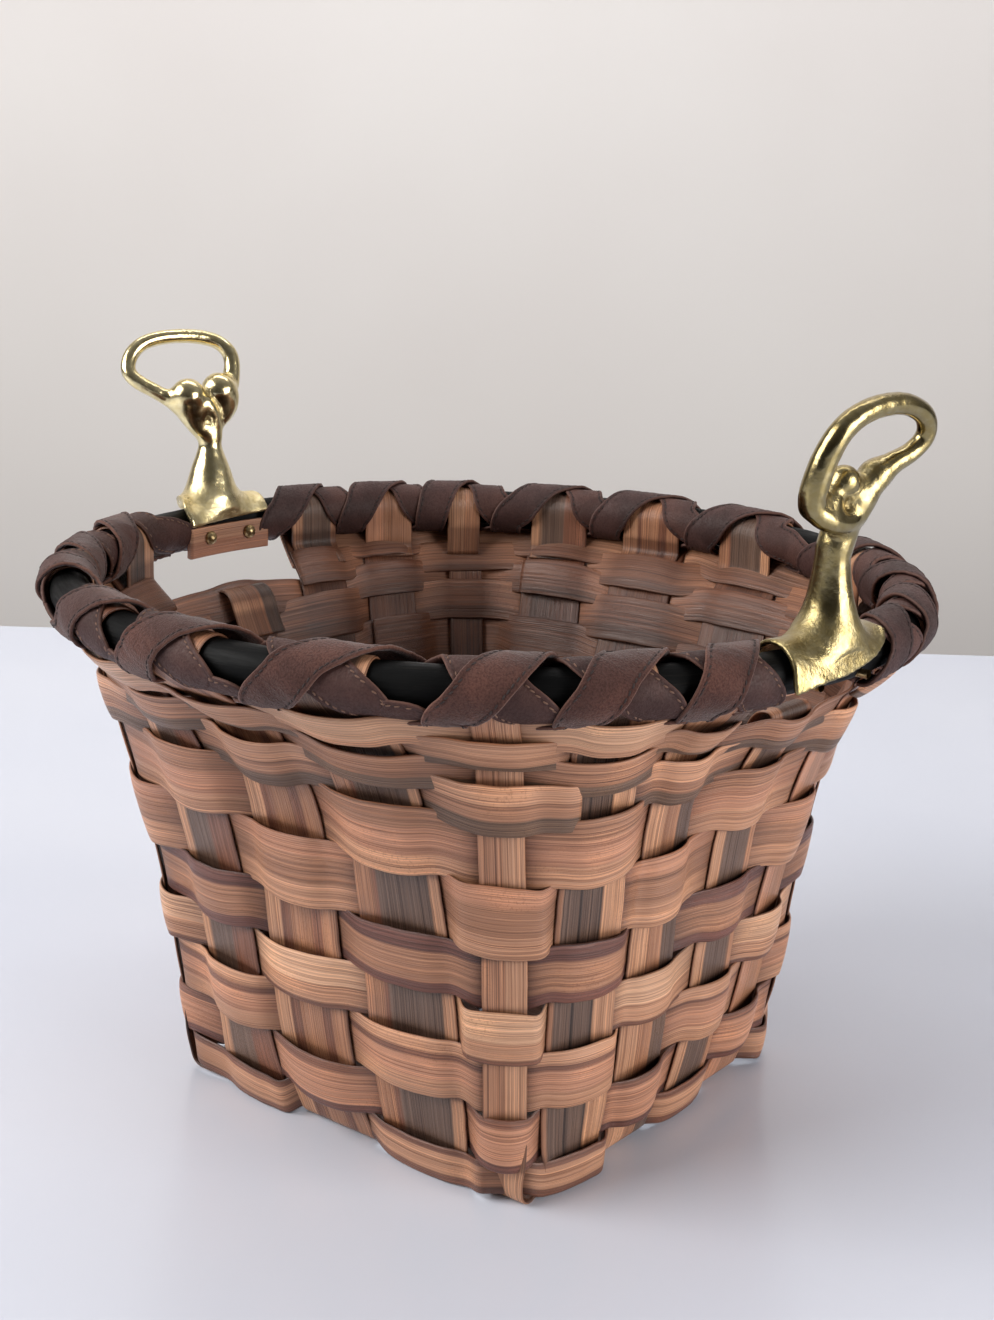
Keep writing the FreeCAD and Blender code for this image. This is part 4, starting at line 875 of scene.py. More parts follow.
def strap_path(names, outer_layer, reverse, front):
    # a name is an upright under the wrap, a number a wrap on the bare hoop
    bare = [not isinstance(n, str) for n in names]
    az = [float(n) if b else UPRIGHTS[INDEX[n]][3] for n, b in zip(names, bare)]
    for k in range(1, len(az)):
        while az[k] < az[k - 1]:
            az[k] += 360.0
    half = [3.1 if b else math.degrees(upright_width(INDEX[n], RH) / 2.0 / RR) for n, b in zip(names, bare)]
    gaps = [az[0] - half[0] - (0.6 if bare[0] else 9.0)]
    for k in range(len(az) - 1):
        gaps.append(((az[k] + half[k]) + (az[k + 1] - half[k + 1])) / 2.0)
    gaps.append(az[-1] + (4.2 if front else half[-1] + 5.2))
    rnd = np.random.RandomState(700 + len(names) + (3 if reverse else 0) + int(az[0]) % 50)
    if outer_layer:
        lift = monotone([-90, -70, -48, -20, 5, 110, 150, 200, 235, 270],
                        [1.6, 1.6, .8, .8, 1.6, 1.6, 1.0, 1.0, 1.6, 1.6])
    else:
        lift = monotone([-90, 270], [0.0, 0.0])
    path = []
    order = list(range(len(az))) if not reverse else list(range(len(az) - 1, -1, -1))
    for k in order:
        g0, g1 = gaps[k] - az[k], gaps[k + 1] - az[k]
        if reverse:
            g0, g1 = g1, g0
        s = 1.0 if g1 > g0 else -1.0
        h = max(half[k] + 0.9, 5.2)
        low = 22.0 if half[k] < 3.0 and not bare[k] else 0.0
        room0, room1 = 2 * abs(abs(g0) - half[k]), 2 * abs(abs(g1) - half[k])
        if outer_layer:
            g0 = g0 + s * min(2.8, 0.45 * room0)
        e0, e1 = s * max(s * g0, -h), s * min(s * g1, h)
        p0 = max(SP, min(SW * 0.85, math.radians(room0) * RR - 2.0))
        p1 = max(SP, min(SW * 0.85, math.radians(room1) * RR - 2.0))
        jit = rnd.uniform(-0.45, 0.45)
        if outer_layer:
            f = monotone([-90, -74, -46, -20, 16, 46, 64, 85, 105, 133, 180, 212, 270],
                         [g0, g0, e0 * .96, e0 * .74, e0 * .45, e0 * .20, 0.0, e1 * .30, e1 * .56, e1 * .86,
                          e1 * .5 + g1 * .5, g1, g1])
        else:
            f = monotone([-90, -74, -56, -36, -5, 20, 42, 65, 90, 120, 150, 185, 212, 270],
                         [g0, g0, e0 * .99, e0 * .84, e0 * .50, e0 * .22, 0.0, e1 * .33, e1 * .58, e1 * .74,
                          e1 * .86, e1 * .5 + g1 * .5, g1, g1])
        end0, end1 = k == order[0], k == order[-1]
        if end0 or not outer_layer:
            p0 = max(p0, SW * 0.86)
        if end1:
            p1 = max(p1, SW * 0.90)
        wide = monotone([-90, -80, -58, -30, 200, 225, 252, 270],
                        [p0, p0, SW * 0.97, SW, SW, SW * 0.95, p1, p1])
        hug = LOW + 0.25 if bare[k] else HUG
        r0 = [8.0, 8.2, 8.3, 8.4, 8.5] if end0 or bare[k] or room0 > 5.0 else [8.1, 9.0, 11.0, 10.8, 9.6]
        r1 = [8.5, 8.4, 8.3, 8.1, 8.1] if end1 or bare[k] or room1 > 5.0 else [9.8, 10.4, 9.0, 8.1, 8.1]
        rad = monotone([-90, -78, -62, -46, -25, 5, 192, 214, 234, 250, 263, 270], r0 + [hug, hug] + r1)
        thetas = [-90, -72, -54, -36, -15, 5, 27, 50, 75, 100, 125, 150, 175, 198, 218, 236, 253]
        if k == order[-1]:
            thetas = thetas + [270]
        for th in thetas:
            calm = math.sin(math.radians(max(0.0, min(180.0, (th + 50) / 260 * 180))))
            # over a slim stake the straps cross further down
            there = th + low * max(0.0, math.cos(math.radians(min(90.0, max(-90.0, (th - 20.0) * 0.9)))))
            path.append([math.radians(az[k] + f(there) + jit * calm) * RR, th, wide(th), rad(th) + lift(th)])
    pts = np.array(path)
    turn = 0
    for j in range(1, len(pts)):
        if path[j][1] < path[j - 1][1]:
            turn += 360
        pts[j, 1] = path[j][1] + turn
    return pts


STRAP_COLS = np.array([-1, -.965, -.90, -.80, -.62, -.34, 0, .34, .62, .80, .90, .965, 1])


def strap(name, names, side, layer, reverse, node):
    pts = strap_path(names, layer == "outer", reverse, side == "front")
    seed = 800 + (11 if side == "back" else 0) + (5 if layer == "outer" else 0)
    ch = np.concatenate([[0], np.cumsum(np.hypot(np.diff(pts[:, 0]), np.radians(np.diff(pts[:, 1])) * pts[1:, 3]))])
    q = np.linspace(0, ch[-1], int(ch[-1] / 1.1))
    l, th, w, r = spline(ch, pts, q).T
    w = np.maximum(w, SP * 0.9)
    dl, dt = np.gradient(l, q), np.gradient(np.radians(th), q) * r
    n = np.hypot(dl, dt)
    px, py = -dt / n, dl / n
    v = STRAP_COLS[None, :]
    qq = q[:, None]
    edge = 1 + 0.02 * wobble(q, seed, 23.0)[:, None]
    ll = l[:, None] + px[:, None] * w[:, None] / 2 * v * edge
    tt = np.radians(th)[:, None] + py[:, None] * w[:, None] / 2 * v * edge / r[:, None]
    open_ = np.clip((w - SP) / (SW - SP), 0, 1)[:, None]
    wave = 0.20 * wobble2(qq, v * 8, seed + 1, 17.0, 30.0) + 0.10 * wobble2(qq, v * 8, seed + 2, 6.0, 9.0)
    roll = 0.35 * np.clip((np.abs(v) - 0.78) / 0.22, 0, 1) ** 2 * (0.6 + 0.8 * np.abs(wobble(qq, seed + 3, 31.0)))
    seam = -0.22 * np.exp(-((np.abs(v) - 0.80) / 0.045) ** 2) * open_
    bunch = (1 - open_) * 0.55 * np.cos(v * 7.0)
    rr = r[:, None] + ST / 2 + np.maximum(wave * open_, -0.25) + roll * open_ + seam + np.maximum(bunch, -0.3)
    rad = RR + rr * np.cos(tt)
    aa = ll / RR
    mid = np.stack([rad * np.cos(aa), rad * np.sin(aa), RH + rr * np.sin(tt)], axis=2)
    # the normal points away from the hoop's middle line
    ds, dv = np.gradient(mid, axis=0), np.gradient(mid, axis=1)
    away = np.stack([np.cos(tt) * np.cos(aa), np.cos(tt) * np.sin(aa), np.sin(tt)], axis=2)
    flip = float((np.cross(ds, dv) * away).sum()) < 0
    ob = strip_mesh(name, mid, flip, seed, thick=ST, cols=STRAP_COLS)
    slot = "leather_" + side
    piece(ob, LEATHER[(side, layer)], slot, node)
    # stitches: short threads let into both edges
    nrm = np.cross(ds, dv) * (-1.0 if flip else 1.0)
    nrm /= np.linalg.norm(nrm, axis=2, keepdims=True)
    verts, faces = [], []
    sides, rings = 6, [(-0.85, 0.10), (-0.55, 0.30), (0.0, 0.34), (0.55, 0.30), (0.85, 0.10)]
    cum = np.concatenate([[0], np.cumsum(np.linalg.norm(np.diff(mid[:, 6], axis=0), axis=1))])
    for col in (3, 9):
        for s in np.arange(2.0, cum[-1] - 2.0, 2.55):
            j = int(np.searchsorted(cum, s))
            if w[j] < 9.5:
                continue
            p, nn = mid[j, col], nrm[j, col]
            dd = ds[j, col] / np.linalg.norm(ds[j, col])
            bb = np.cross(nn, dd)
            dd = dd * 0.97 + bb * 0.22 * (1 if col == 3 else -1)
            base = p + nn * (ST / 2 + 0.02)
            first = len(verts)
            for x, rad_ in rings:
                for kk in range(sides):
                    an = 2 * math.pi * kk / sides
                    verts.append(base + dd * x + bb * (rad_ * math.cos(an)) + nn * (rad_ * math.sin(an)))
            for a in range(len(rings) - 1):
                for kk in range(sides):
                    k2 = (kk + 1) % sides
                    faces.append([first + a * sides + kk, first + a * sides + k2,
                                  first + (a + 1) * sides + k2, first + (a + 1) * sides + kk])
            for a, rev in ((0, True), (len(rings) - 1, False)):
                r0 = [first + a * sides + kk for kk in range(sides)]
                for tri in ([r0[0], r0[1], r0[2], r0[3]], [r0[0], r0[3], r0[4], r0[5]]):
                    faces.append(tri[::-1] if rev else tri)
    st = put_mesh("stitches_%s_%s" % (side, layer), verts, faces)
    piece(st, THREAD["inner" if (side, layer) == ("front", "inner") else "outer"], slot)
    return ob


FRONT = ["M4", 215.0, "C3", "L3", "L2", "L1", "C0", "R1", "R2"]
BACK = [4.6, "R4", 34.0, "C1", "N1", "N2", "N3", "C2", "M1", "M2"]
for side, names in (("front", FRONT), ("back", BACK)):
    strap("strap_%s_inner" % side, names, side, "inner", True, "lashing_%s_inner" % side)
    strap("strap_%s_outer" % side, names, side, "outer", False, "lashing_%s_outer" % side)

# ------------------------------------------------------------------ handles


def brass(name, shade, warm):
    m = Nodes(name)
    geo = m.t.nodes.new("ShaderNodeNewGeometry")
    pos = geo.outputs["Position"]
    hollow = m.attr("hollow", "Fac")
    cast = m.noise(pos, 420.0, 4.0, 0.6)
    pit = m.noise(pos, 1100.0, 2.0, 0.5)
    smear = m.noise(pos, 70.0, 3.0, 0.5)
    # the saddle keeps more of its cast skin
    xyz = m.t.nodes.new("ShaderNodeSeparateXYZ")
    m.put(xyz.inputs[0], pos)
    skin = m.math("MULTIPLY", m.remap(xyz.outputs["Z"], 0.216, 0.200, 0.0, 1.0), m.remap(smear, 0.36, 0.60, 0.12, 0.32))
    # shade and warm darken and warm the base colour; for the right casting this is painted shade
    col = m.mix(m.remap(cast, 0.35, 0.7), tuple(shade * c for c in (0.68, 0.56 - warm, 0.29 - 2 * warm)),
                tuple(shade * c for c in (0.78, 0.67 - warm, 0.40 - 2 * warm)))
    col = m.mix(m.math("MULTIPLY", hollow, m.remap(pit, 0.42, 0.62, 0.1, 0.8)), col, (0.30, 0.22, 0.09))
    m.put(m.bsdf.inputs["Base Color"], col)
    m.bsdf.inputs["Metallic"].default_value = 1.0
    m.put(m.bsdf.inputs["Roughness"], m.math("ADD", m.remap(smear, 0.3, 0.7, 0.16, 0.28),
                                            m.math("ADD", m.math("MULTIPLY", hollow, 0.14), m.math("MULTIPLY", skin, 0.55))))
    dents = m.noise(pos, 190.0, 2.0, 0.5)
    n1 = m.bump(dents, 0.10, 0.0010)
    h = m.math("MULTIPLY", m.math("ADD", m.math("MULTIPLY", cast, 0.6), m.math("MULTIPLY", pit, 0.5)),
               m.math("ADD", m.math("ADD", m.remap(smear, 0.50, 0.66, 0.07, 0.36), skin), hollow))
    m.put(m.bsdf.inputs["Normal"], m.bump(h, 0.55, 0.0011, n1))
    return m.mat


# the right casting is a darker, warmer copy of the same brass: painted shade for the darker room its metal reflects
BRASS = {"left": brass("brass_left", 1.0, 0.0), "right": brass("brass_right_painted_shade", 0.44, 0.03)}


def pin_brass():
    m = Nodes("pin_brass")
    geo = m.t.nodes.new("ShaderNodeNewGeometry")
    spot = m.noise(geo.outputs["Position"], 700.0, 4.0, 0.6)
    m.put(m.bsdf.inputs["Base Color"], m.mix(m.remap(spot, 0.38, 0.62), (0.20, 0.13, 0.06), (0.46, 0.35, 0.18)))
    m.bsdf.inputs["Metallic"].default_value = 1.0
    m.put(m.bsdf.inputs["Roughness"], m.remap(spot, 0.3, 0.7, 0.48, 0.28))
    m.put(m.bsdf.inputs["Normal"], m.bump(spot, 0.4, 0.0006))
    return m.mat


PIN_BRASS = pin_brass()


def smin(a, b, k):
    h = np.clip(0.5 + 0.5 * (b - a) / k, 0, 1)
    return b * (1 - h) + a * h - k * h * (1 - h)


def smax(a, b, k):
    return -smin(-a, -b, k)


def round_cone(p, a, b, ra, rb):
    """Distance to a limb from a (radius ra) to b (radius rb)."""
    ab = b - a
    t = np.clip(((p - a) @ ab) / float(ab @ ab), 0, 1)
    return np.linalg.norm(p - a - t[..., None] * ab, axis=-1) - (ra + (rb - ra) * t)


STEM = {
    "right": [(0.2, 0.4, 203.0, 10.2), (-0.2, 0.8, 208.0, 8.6), (-0.8, 1.1, 214.0, 7.0), (-1.4, 1.4, 220.0, 6.0),
              (-1.8, 1.7, 227.0, 5.4), (-1.0, 2.4, 233.0, 5.2)],
    "left": [(-0.4, 0.4, 203.0, 11.0), (-0.6, 0.8, 208.0, 9.6), (-0.8, 1.1, 214.0, 7.7), (-1.0, 1.4, 219.0, 5.8),
             (-1.2, 1.7, 225.0, 4.25), (-1.4, 2.0, 230.0, 4.4)],
}
STRANDS = {
    "right": [[(-1.2, 2.2, 229.4, 4.9), (0.6, 3.0, 234.9, 4.9), (3.8, 4.5, 240.8, 4.5), (8.1, 6.5, 247.7, 4.2),
               (14.7, 8.5, 253.0, 3.6), (20.6, 9.8, 255.4, 3.2), (24.6, 11.2, 258.4, 3.1), (26.0, 12.6, 262.0, 3.1),
               (24.2, 13.6, 266.1, 3.2), (19.4, 14, 269.6, 3.3), (11.0, 13.6, 272.1, 3.4), (0.3, 12.6, 271.9, 3.5),
               (-8.9, 11.5, 269.3, 3.6), (-14.7, 10, 264.7, 3.8), (-17.2, 8, 258.7, 4.0), (-18.2, 6.2, 252.5, 4.2),
               (-18.2, 4.6, 246.4, 4.3), (-17.0, 3.8, 242.6, 4.0)],
              [(-17.0, 3.9, 242.4, 3.9), (-13.2, 5.8, 238.7, 3.6), (-5.2, 6.6, 236.8, 3.5), (2.5, 6.0, 237.6, 3.0)]],
    "left": [[(-1.6, 2.2, 226.3, 4.4), (3.2, 3.2, 230.1, 4.1), (7.6, 5.0, 234.9, 3.6), (11.6, 8.5, 240.1, 3.2),
              (18.1, 13.5, 245.1, 3.0), (23.1, 18.5, 249.1, 3.0), (24.2, 22, 253.4, 3.0), (21.2, 23.5, 258.9, 3.0),
              (15.7, 22.5, 263.3, 2.9), (7.9, 20, 265.5, 2.9), (-0.9, 17, 265.9, 2.9), (-9.0, 13, 265.1, 3.0),
              (-14.2, 9, 262.6, 3.0), (-16.2, 5.5, 258.2, 3.2), (-15.3, 3.6, 252.3, 3.4), (-13.0, 2.8, 247.1, 4.2)],
             [(-3.0, 1.4, 226.5, 2.6), (-1.2, -0.6, 234.7, 2.6), (1.6, -0.4, 240.4, 2.3)],
             [(-7.2, 2.5, 244.4, 7.5), (-8.4, 2.0, 239.2, 6.4), (-5.0, 2.0, 231.5, 3.4)]],
}
LOBES = {
    "right": [((10.6, 5.2, 249.6), 4.6), ((-3.4, 4.6, 249.0), 4.9), ((3.3, 4.0, 243.1), 6.0), ((-9.5, 3.4, 242.6), 4.8)],
    "left": [((8.0, 4.4, 243.4), 6.9), ((4.4, 3.2, 237.2), 5.0)],
}
STEM_LINES = {side: [monotone([q[2] for q in pts], [q[k] for q in pts]) for k in (0, 1, 3)]
              for side, pts in STEM.items()}
LIP = {
    "right": monotone([-32, -26, -13, -4, 5.5, 16, 20, 23, 30], [-25, -23, -10, -5, 6, 25, 39, 62, 90]),
    "left": monotone([-32, -26, -13, -4, 4, 10, 16, 20, 23, 30], [-25, -23, -10, -2, 18, 46, 82, 106, 124, 150]),
}


def handle_field(side, p, lip_of):
    """Signed distance of one casting. p: (tangent, outward, height)."""
    a, o, z = p[..., 0], p[..., 1], p[..., 2]
    x = RR + o
    arc = np.arctan2(a, x) * RR
    oo = np.hypot(x, a) - RR
    zz = z - RH
    rho = np.hypot(oo, zz)
    th = np.degrees(np.arctan2(zz, oo))
    th = np.where(th < -120, th + 360, th)
    # half pipe over the hoop, its outer lip turned out a little
    lip = lip_of(arc)
    flare = np.clip((lip + 26.0 - th) / 26.0, 0, 1) ** 1.6 * 1.7
    shell = np.abs(rho - (9.75 + flare)) - 1.05
    shell = smax(shell, (lip - th) * rho * 0.01745, 0.8)
    high_ = np.interp(arc, [-26.0, -8.0, 10.0, 22.0], [158.0, 163.0, 169.0, 173.0])
    shell = smax(shell, np.abs(arc + 0.8) - 22.8, 0.9)
    # stem: round at every height, one smooth outline; z is the same over a slice
    zs = float(z.flat[0])
    ac, oc, rs = (fn(zs) for fn in STEM_LINES[side])
    slope = (STEM_LINES[side][2](zs + 0.5) - STEM_LINES[side][2](zs - 0.5))
    stem = (np.hypot(a - ac, o - oc) - rs) / math.hypot(1.0, slope)
    stem = smax(stem, np.full_like(stem, zs - STEM[side][-1][2] - 2.0), 2.5)
    stem = smax(stem, np.full_like(stem, 199.0 - zs), 1.0)
    body = smin(stem, shell, 8.0)
    # the inner edge of the casting follows the hoop down to the backing strip
    body = smax(body, (th - high_) * rho * 0.01745, 0.8)
    loop = None
    for strand in STRANDS[side]:
        fine = spline(np.arange(len(strand)), np.array(strand, float), np.linspace(0, len(strand) - 1, 3 * len(strand)))
        one = None
        for q0, q1 in zip(fine, fine[1:]):
            d = round_cone(p, q0[:3], q1[:3], q0[3], q1[3])
            one = d if one is None else np.minimum(one, d)
        loop = one if loop is None else smin(loop, one, 1.3)
    for c, r in LOBES[side]:
        d = np.linalg.norm(p - np.array(c), axis=-1) - r
        loop = smin(loop, d, 3.6)
    whole = smin(body, loop, 2.6)
    # hand-finished casting: soft dents all over
    dent = (np.sin(a * 0.61 + z * 0.37) * np.sin(o * 0.53 - z * 0.29 + 1.0) * 0.05
            + np.sin(a * 1.31 - o * 0.9 + 0.4) * np.sin(z * 1.13 + o * 0.7) * 0.03)
    return smax(whole + dent, 8.55 - rho, 0.5)


def surface_nets(field, lo, step):
    """Closed quad mesh of the zero level of a sampled field."""
    inside = field < 0
    nx, ny, nz = field.shape
    corners = [(i, j, k) for i in (0, 1) for j in (0, 1) for k in (0, 1)]
    count = np.zeros((nx - 1, ny - 1, nz - 1), np.int8)
    for i, j, k in corners:
        count += inside[i:nx - 1 + i, j:ny - 1 + j, k:nz - 1 + k]
    cells = np.argwhere((count > 0) & (count < 8))
    number = -np.ones(count.shape, np.int64)
    number[tuple(cells.T)] = np.arange(len(cells))
    total, n = np.zeros((len(cells), 3)), np.zeros(len(cells))
    for c0 in corners:
        for ax in range(3):
            if c0[ax]:
                continue
            c1 = list(c0)
            c1[ax] = 1
            f0 = field[tuple((cells + np.array(c0)).T)]
            f1 = field[tuple((cells + np.array(c1)).T)]
            hit = (f0 < 0) != (f1 < 0)
            t = np.where(hit, f0 / np.where(hit, f0 - f1, 1.0), 0.0)
            pt = np.array(c0, float)[None, :].repeat(len(cells), 0)
            pt[:, ax] += t
            total += pt * hit[:, None]
            n += hit
    verts = (cells + total / n[:, None]) * step + np.array(lo)
    quads = []
    for ax in range(3):
        u, v = (ax + 1) % 3, (ax + 2) % 3
        s0 = [slice(0, d) for d in field.shape]
        s1 = [slice(0, d) for d in field.shape]
        s0[ax], s1[ax] = slice(0, field.shape[ax] - 1), slice(1, field.shape[ax])
        for w in (u, v):
            s0[w] = s1[w] = slice(1, field.shape[w] - 1)
        a, b = inside[tuple(s0)], inside[tuple(s1)]
        for out_, flag in ((a & ~b, True), (~a & b, False)):
            e = np.argwhere(out_)
            if not len(e):
                continue
            e[:, u] += 1
            e[:, v] += 1
            q = []
            for du, dv in ((0, 0), (-1, 0), (-1, -1), (0, -1)):
                c = e.copy()
                c[:, u] += du
                c[:, v] += dv
                q.append(number[tuple(c.T)])
            q = np.stack(q, axis=1)
            quads.append(q if flag else q[:, ::-1])
    return verts, np.concatenate(quads)


def relax(verts, quads, rounds, share=0.5):
    e = np.concatenate([quads[:, [0, 1]], quads[:, [1, 2]], quads[:, [2, 3]], quads[:, [3, 0]]])
    for _ in range(rounds):
        acc, n = np.zeros_like(verts), np.zeros(len(verts))
        for i, j in ((0, 1), (1, 0)):
            np.add.at(acc, e[:, i], verts[e[:, j]])
            np.add.at(n, e[:, i], 1)
        verts = verts + (acc / n[:, None] - verts) * share
    return verts


def handle(side, az):
    step = 0.62
    lo, hi = np.array([-33.0, -13.5, 181.5]), np.array([32.0, 30.0, 281.0])
    axes = [np.arange(lo[k], hi[k], step) for k in range(3)]
    knots = np.linspace(-36, 36, 145)
    lips = np.array([LIP[side](x) for x in knots])

    def lip_of(arc):
        return np.interp(arc, knots, lips)

    field = np.empty([len(x) for x in axes])
    grid = np.stack(np.meshgrid(axes[0], axes[1], indexing="ij"), axis=2)
    for k, z in enumerate(axes[2]):
        p = np.concatenate([grid, np.full(grid.shape[:2] + (1,), z)], axis=2)
        field[:, :, k] = handle_field(side, p, lip_of)
    verts, quads = surface_nets(field, lo, step)
    verts = relax(verts, quads, 2, 0.45)
    # hollows: where the surface curves inwards
    sm = relax(verts, quads, 10, 0.6)
    e1 = verts[quads[:, 2]] - verts[quads[:, 0]]
    e2 = verts[quads[:, 3]] - verts[quads[:, 1]]
    fn = np.cross(e1, e2)
    vn = np.zeros_like(verts)
    for k in range(4):
        np.add.at(vn, quads[:, k], fn)
    vn /= np.maximum(np.linalg.norm(vn, axis=1, keepdims=True), 1e-12)
    hollow = np.clip(((sm - verts) * vn).sum(1) / 0.10, 0, 1)
    t = math.radians(az)
    er, et = np.array([math.cos(t), math.sin(t), 0]), np.array([-math.sin(t), math.cos(t), 0])
    world = er * (RR + verts[:, 1:2]) + et * verts[:, 0:1] + np.array([0, 0, 1.0]) * verts[:, 2:3]
    if float(np.mean(((verts - verts.mean(0)) * vn).sum(1))) < 0:
        quads, hollow = quads[:, ::-1], np.clip(-((sm - verts) * vn).sum(1) / 0.10, 0, 1)
    ob = put_mesh(side + "_casting", world, quads, {"hollow": hollow})
    # the local frame (tangent, outward, up) is left-handed, so faces turn over
    ob.data.flip_normals()
    return piece(ob, BRASS[side], "brass", side + "_handle")


def pin_pair(side, az):
    verts, faces = [], []
    for s in (-1.0, 1.0):
        pa = math.radians(az + s * 4.4)
        pr = np.array([math.cos(pa), math.sin(pa), 0])
        pt = np.array([-math.sin(pa), math.cos(pa), 0])
        up = np.array([0, 0, 1.0])
        c = pr * 139.25 + up * 187.2
        rings = [(20.0, 1.45), (0.0, 1.46), (0.0, 2.75), (-0.35, 2.82), (-0.9, 2.66), (-1.6, 2.2), (-2.2, 1.5), (-2.5, 0.7),
                 (-2.58, 0.05)]
        n = 24
        first = len(verts)
        for x, r in rings:
            for k in range(n):
                an = 2 * math.pi * k / n
                verts.append(c + pr * x + pt * (r * math.cos(an)) + up * (r * math.sin(an)))
        for a in range(len(rings) - 1):
            for k in range(n):
                k2 = (k + 1) % n
                faces.append([first + a * n + k, first + (a + 1) * n + k, first + (a + 1) * n + k2, first + a * n + k2])
    ob = put_mesh(side + "_pins", verts, faces, {"hollow": np.full(len(verts), 0.35)})
    return piece(ob, PIN_BRASS, "brass", side + "_handle_pins")


def backing(side, az, mat):
    a = np.radians(np.linspace(az - 8.6, az + 8.6, 48))
    z = 185.7 + ACROSS * 6.2
    bow = 0.25 * np.abs(ACROSS) ** 3
    mid = np.stack([np.cos(a)[:, None] * (141.0 + bow)[None, :], np.sin(a)[:, None] * (141.0 + bow)[None, :],
                    np.broadcast_to(z, (48, len(z)))], axis=2)
    ob = strip_mesh(side + "_backing", mid, False, 900 + int(az) % 40, thick=2.9)
    return piece(ob, mat, "backing_wood", side + "_backing_strip")


BACKING = wood("backing_wood", stripes((0, .5, PINK), (.5, 1, LIGHT)), streak=0.25, fine=0.25)
for side, az in HANDLES:
    handle(side, az)
    pin_pair(side, az)
    backing(side, az, BACKING)

# ------------------------------------------------------------------ stage
YAW, PITCH, ROLL = 2.2126188, 0.2587239, 0.0318190
EYE = np.array([397.670, -526.151, 334.798])
FOCAL_PX, LONG_PX = 1840.576, 1320.0
look = np.array([math.cos(YAW) * math.cos(PITCH), math.sin(YAW) * math.cos(PITCH), -math.sin(PITCH)])
right0 = np.array([math.sin(YAW), -math.cos(YAW), 0.0])
up0 = np.cross(right0, look)
right = math.cos(ROLL) * right0 + math.sin(ROLL) * up0
up_ = -math.sin(ROLL) * right0 + math.cos(ROLL) * up0
ahead = np.array([math.cos(YAW), math.sin(YAW), 0.0])

cam_data = bpy.data.cameras.new("camera")
cam = bpy.data.objects.new("camera", cam_data)
bpy.context.scene.collection.objects.link(cam)
cam_data.sensor_fit = "AUTO"
cam_data.sensor_width = 36.0
cam_data.lens = FOCAL_PX / LONG_PX * 36.0
cam_data.dof.use_dof = False
cam_data.clip_start, cam_data.clip_end = 0.01, 30.0
m = Matrix.Identity(4)
for k in range(3):
    m[k][0], m[k][1], m[k][2], m[k][3] = right[k], up_[k], -look[k], EYE[k] * MM
cam.matrix_world = m
bpy.context.scene.camera = cam


def table_material():
    m = Nodes("table_top")
    geo = m.t.nodes.new("ShaderNodeNewGeometry")
    pos = geo.outputs["Position"]
    cloud = m.noise(pos, 3.0, 2.0)
    speck = m.noise(pos, 900.0, 2.0)
    m.put(m.bsdf.inputs["Base Color"], m.mix(m.remap(cloud, 0.3, 0.7), srgb(198, 203, 216), srgb(203, 207, 218)))
    m.put(m.bsdf.inputs["Roughness"], m.remap(cloud, 0.3, 0.7, 0.20, 0.26))
    m.bsdf.inputs["Specular IOR Level"].default_value = 0.5
    m.put(m.bsdf.inputs["Normal"], m.bump(speck, 0.02, 0.0002))
    return m.mat


def wall_material():
    m = Nodes("wall_paint")
    geo = m.t.nodes.new("ShaderNodeNewGeometry")
    pos = geo.outputs["Position"]
    cloud = m.noise(pos, 2.0, 2.0)
    grit = m.noise(pos, 700.0, 2.0)
    m.put(m.bsdf.inputs["Base Color"], m.mix(m.remap(cloud, 0.3, 0.7), srgb(226, 221, 218), srgb(230, 226, 223)))
    m.bsdf.inputs["Roughness"].default_value = 0.85
    m.put(m.bsdf.inputs["Normal"], m.bump(grit, 0.05, 0.0003))
    return m.mat


def slab(name, centre, ax, ay, az_, half, mat):
    """Box with its edges taken off, axes ax, ay, az_ (millimetres)."""
    ax, ay, az_ = (np.asarray(v, float) for v in (ax, ay, az_))
    hx, hy, hz = half
    c = 4.0
    prof = [(hx - c, hy - c, hz), (hx, hy, hz - c), (hx, hy, -hz + c), (hx - c, hy - c, -hz)]
    verts = []
    for px, py, pz in prof:
        for sx, sy in ((-1, -1), (1, -1), (1, 1), (-1, 1)):
            verts.append(np.asarray(centre, float) + ax * px * sx + ay * py * sy + az_ * pz)
    faces = [[0, 1, 2, 3], [15, 14, 13, 12]]
    for k in range(3):
        for j in range(4):
            j2 = (j + 1) % 4
            faces.append([k * 4 + j, (k + 1) * 4 + j, (k + 1) * 4 + j2, k * 4 + j2])
    ob = put_mesh(name, verts, faces, smooth=False)
    ob.data.materials.append(mat)
    return ob


side_ = np.array([ahead[1], -ahead[0], 0.0])
edge_run = math.cos(0.006) * side_ + math.sin(0.006) * ahead
deep = np.array([-edge_run[1], edge_run[0], 0.0])
foot = np.array([EYE[0], EYE[1], 0.0])
BACK_EDGE = 1324.0
tc = foot + deep * (BACK_EDGE - 1300.0) + np.array([0, 0, -20.05])
slab("table", tc, edge_run, deep, (0, 0, 1), (2200.0, 1300.0, 20.0), table_material())
wall = slab("wall", foot + deep * 2350.0 + np.array([0, 0, 600.0]), edge_run, (0, 0, 1), -deep,
            (3600.0, 2200.0, 20.0), wall_material())


def area(name, place, target, size, power, colour):
    data = bpy.data.lights.new(name, "AREA")
    data.shape = "RECTANGLE"
    data.size, data.size_y = size
    data.energy = power
    data.color = colour
    ob = bpy.data.objects.new(name, data)
    bpy.context.scene.collection.objects.link(ob)
    p, q = Vector(place), Vector(target)
    ob.location = p
    ob.rotation_mode = "QUATERNION"
    ob.rotation_quaternion = (q - p).to_track_quat("-Z", "Y")
    return ob


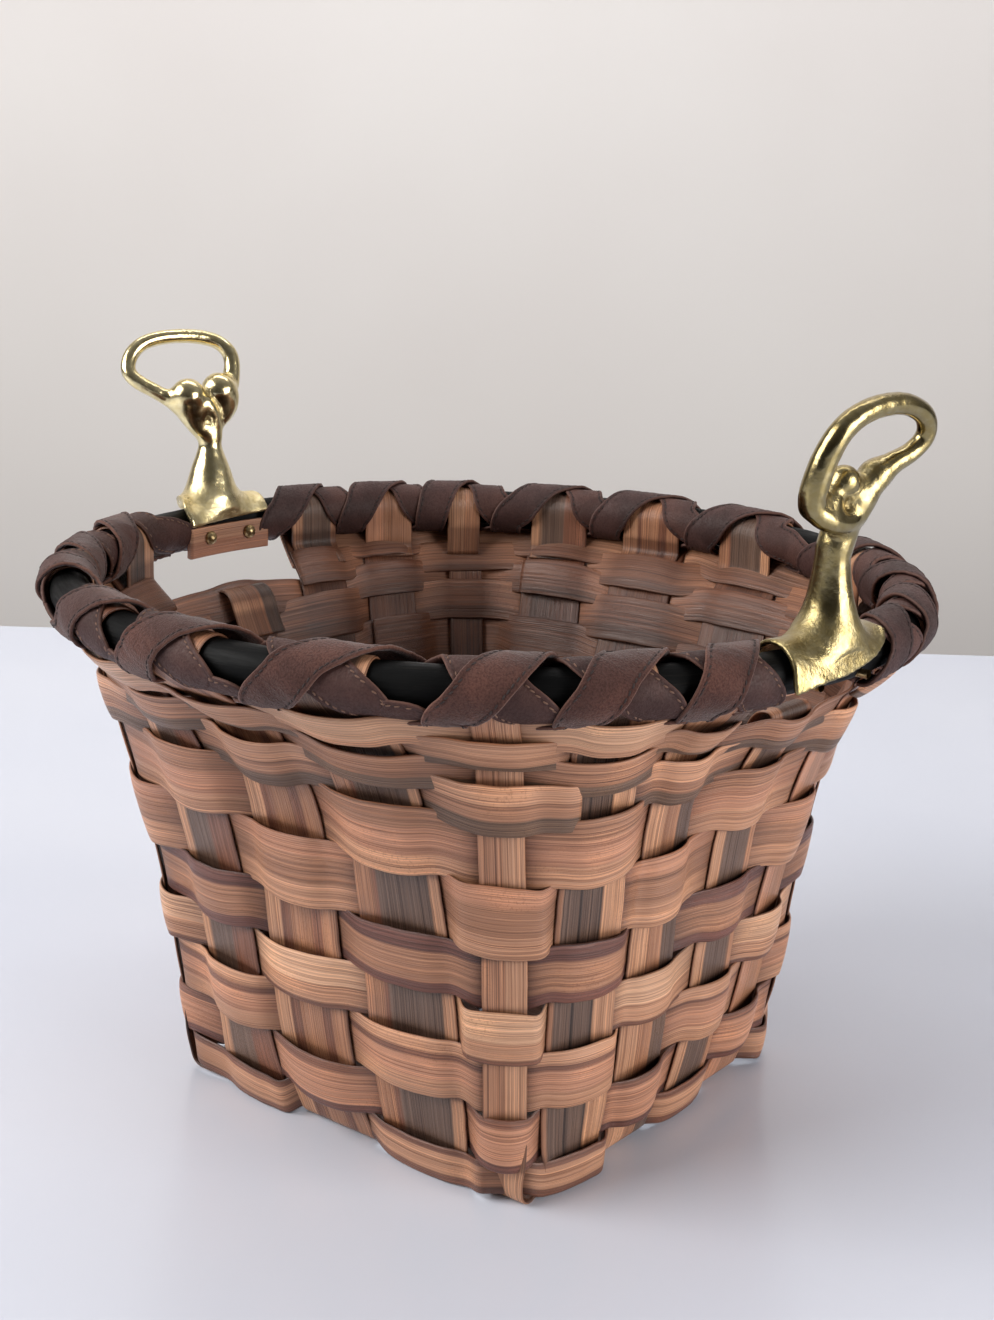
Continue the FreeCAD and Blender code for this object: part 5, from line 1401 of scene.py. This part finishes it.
def at(r, f, z):
    """Place given as right, forward (from the basket, seen by the camera) and height, in metres."""
    p = side_ * r + ahead * f
    return (float(p[0]), float(p[1]), z)


area("window", at(-1.68, -0.52, 1.22), at(0, 0, 0.12), (1.5, 1.5), 55.0, (1.0, 0.985, 0.965))
area("right_window", at(1.58, -0.92, 0.48), at(0, 0, 0.14), (1.2, 1.0), 32.0, (1.0, 0.985, 0.97))
area("wall_wash", at(0.1, 0.75, 2.2), at(0.1, 1.66, 1.0), (2.4, 0.5), 25.0, (1.0, 0.975, 0.965))

world = bpy.data.worlds.new("room")
bpy.context.scene.world = world
world.use_nodes = True
wt = world.node_tree
wt.nodes.clear()
wo = wt.nodes.new("ShaderNodeOutputWorld")
bg = wt.nodes.new("ShaderNodeBackground")
tc_ = wt.nodes.new("ShaderNodeTexCoord")
gr = wt.nodes.new("ShaderNodeSeparateXYZ")
ra = wt.nodes.new("ShaderNodeValToRGB")
wt.links.new(tc_.outputs["Generated"], gr.inputs[0])
wt.links.new(gr.outputs["Z"], ra.inputs["Fac"])
ra.color_ramp.elements[0].position = 0.0
ra.color_ramp.elements[0].color = (0.16, 0.15, 0.15, 1)
ra.color_ramp.elements[1].position = 0.9
ra.color_ramp.elements[1].color = (0.75, 0.76, 0.80, 1)
face_to = wt.nodes.new("ShaderNodeVectorMath")
face_to.operation = "DOT_PRODUCT"
wt.links.new(tc_.outputs["Generated"], face_to.inputs[0])
face_to.inputs[1].default_value = (float(ahead[0]), float(ahead[1]), 0.0)
shade = wt.nodes.new("ShaderNodeMapRange")
shade.interpolation_type = "SMOOTHSTEP"
for key, val in (("From Min", -0.75), ("From Max", 0.45), ("To Min", 0.19), ("To Max", 0.60)):
    shade.inputs[key].default_value = val
wt.links.new(face_to.outputs["Value"], shade.inputs["Value"])
wt.links.new(ra.outputs["Color"], bg.inputs["Color"])
wt.links.new(shade.outputs["Result"], bg.inputs["Strength"])
wt.links.new(bg.outputs["Background"], wo.inputs["Surface"])

bpy.context.scene.view_settings.view_transform = "Standard"
bpy.context.scene.view_settings.look = "None"
bpy.context.scene.view_settings.exposure = 0.0
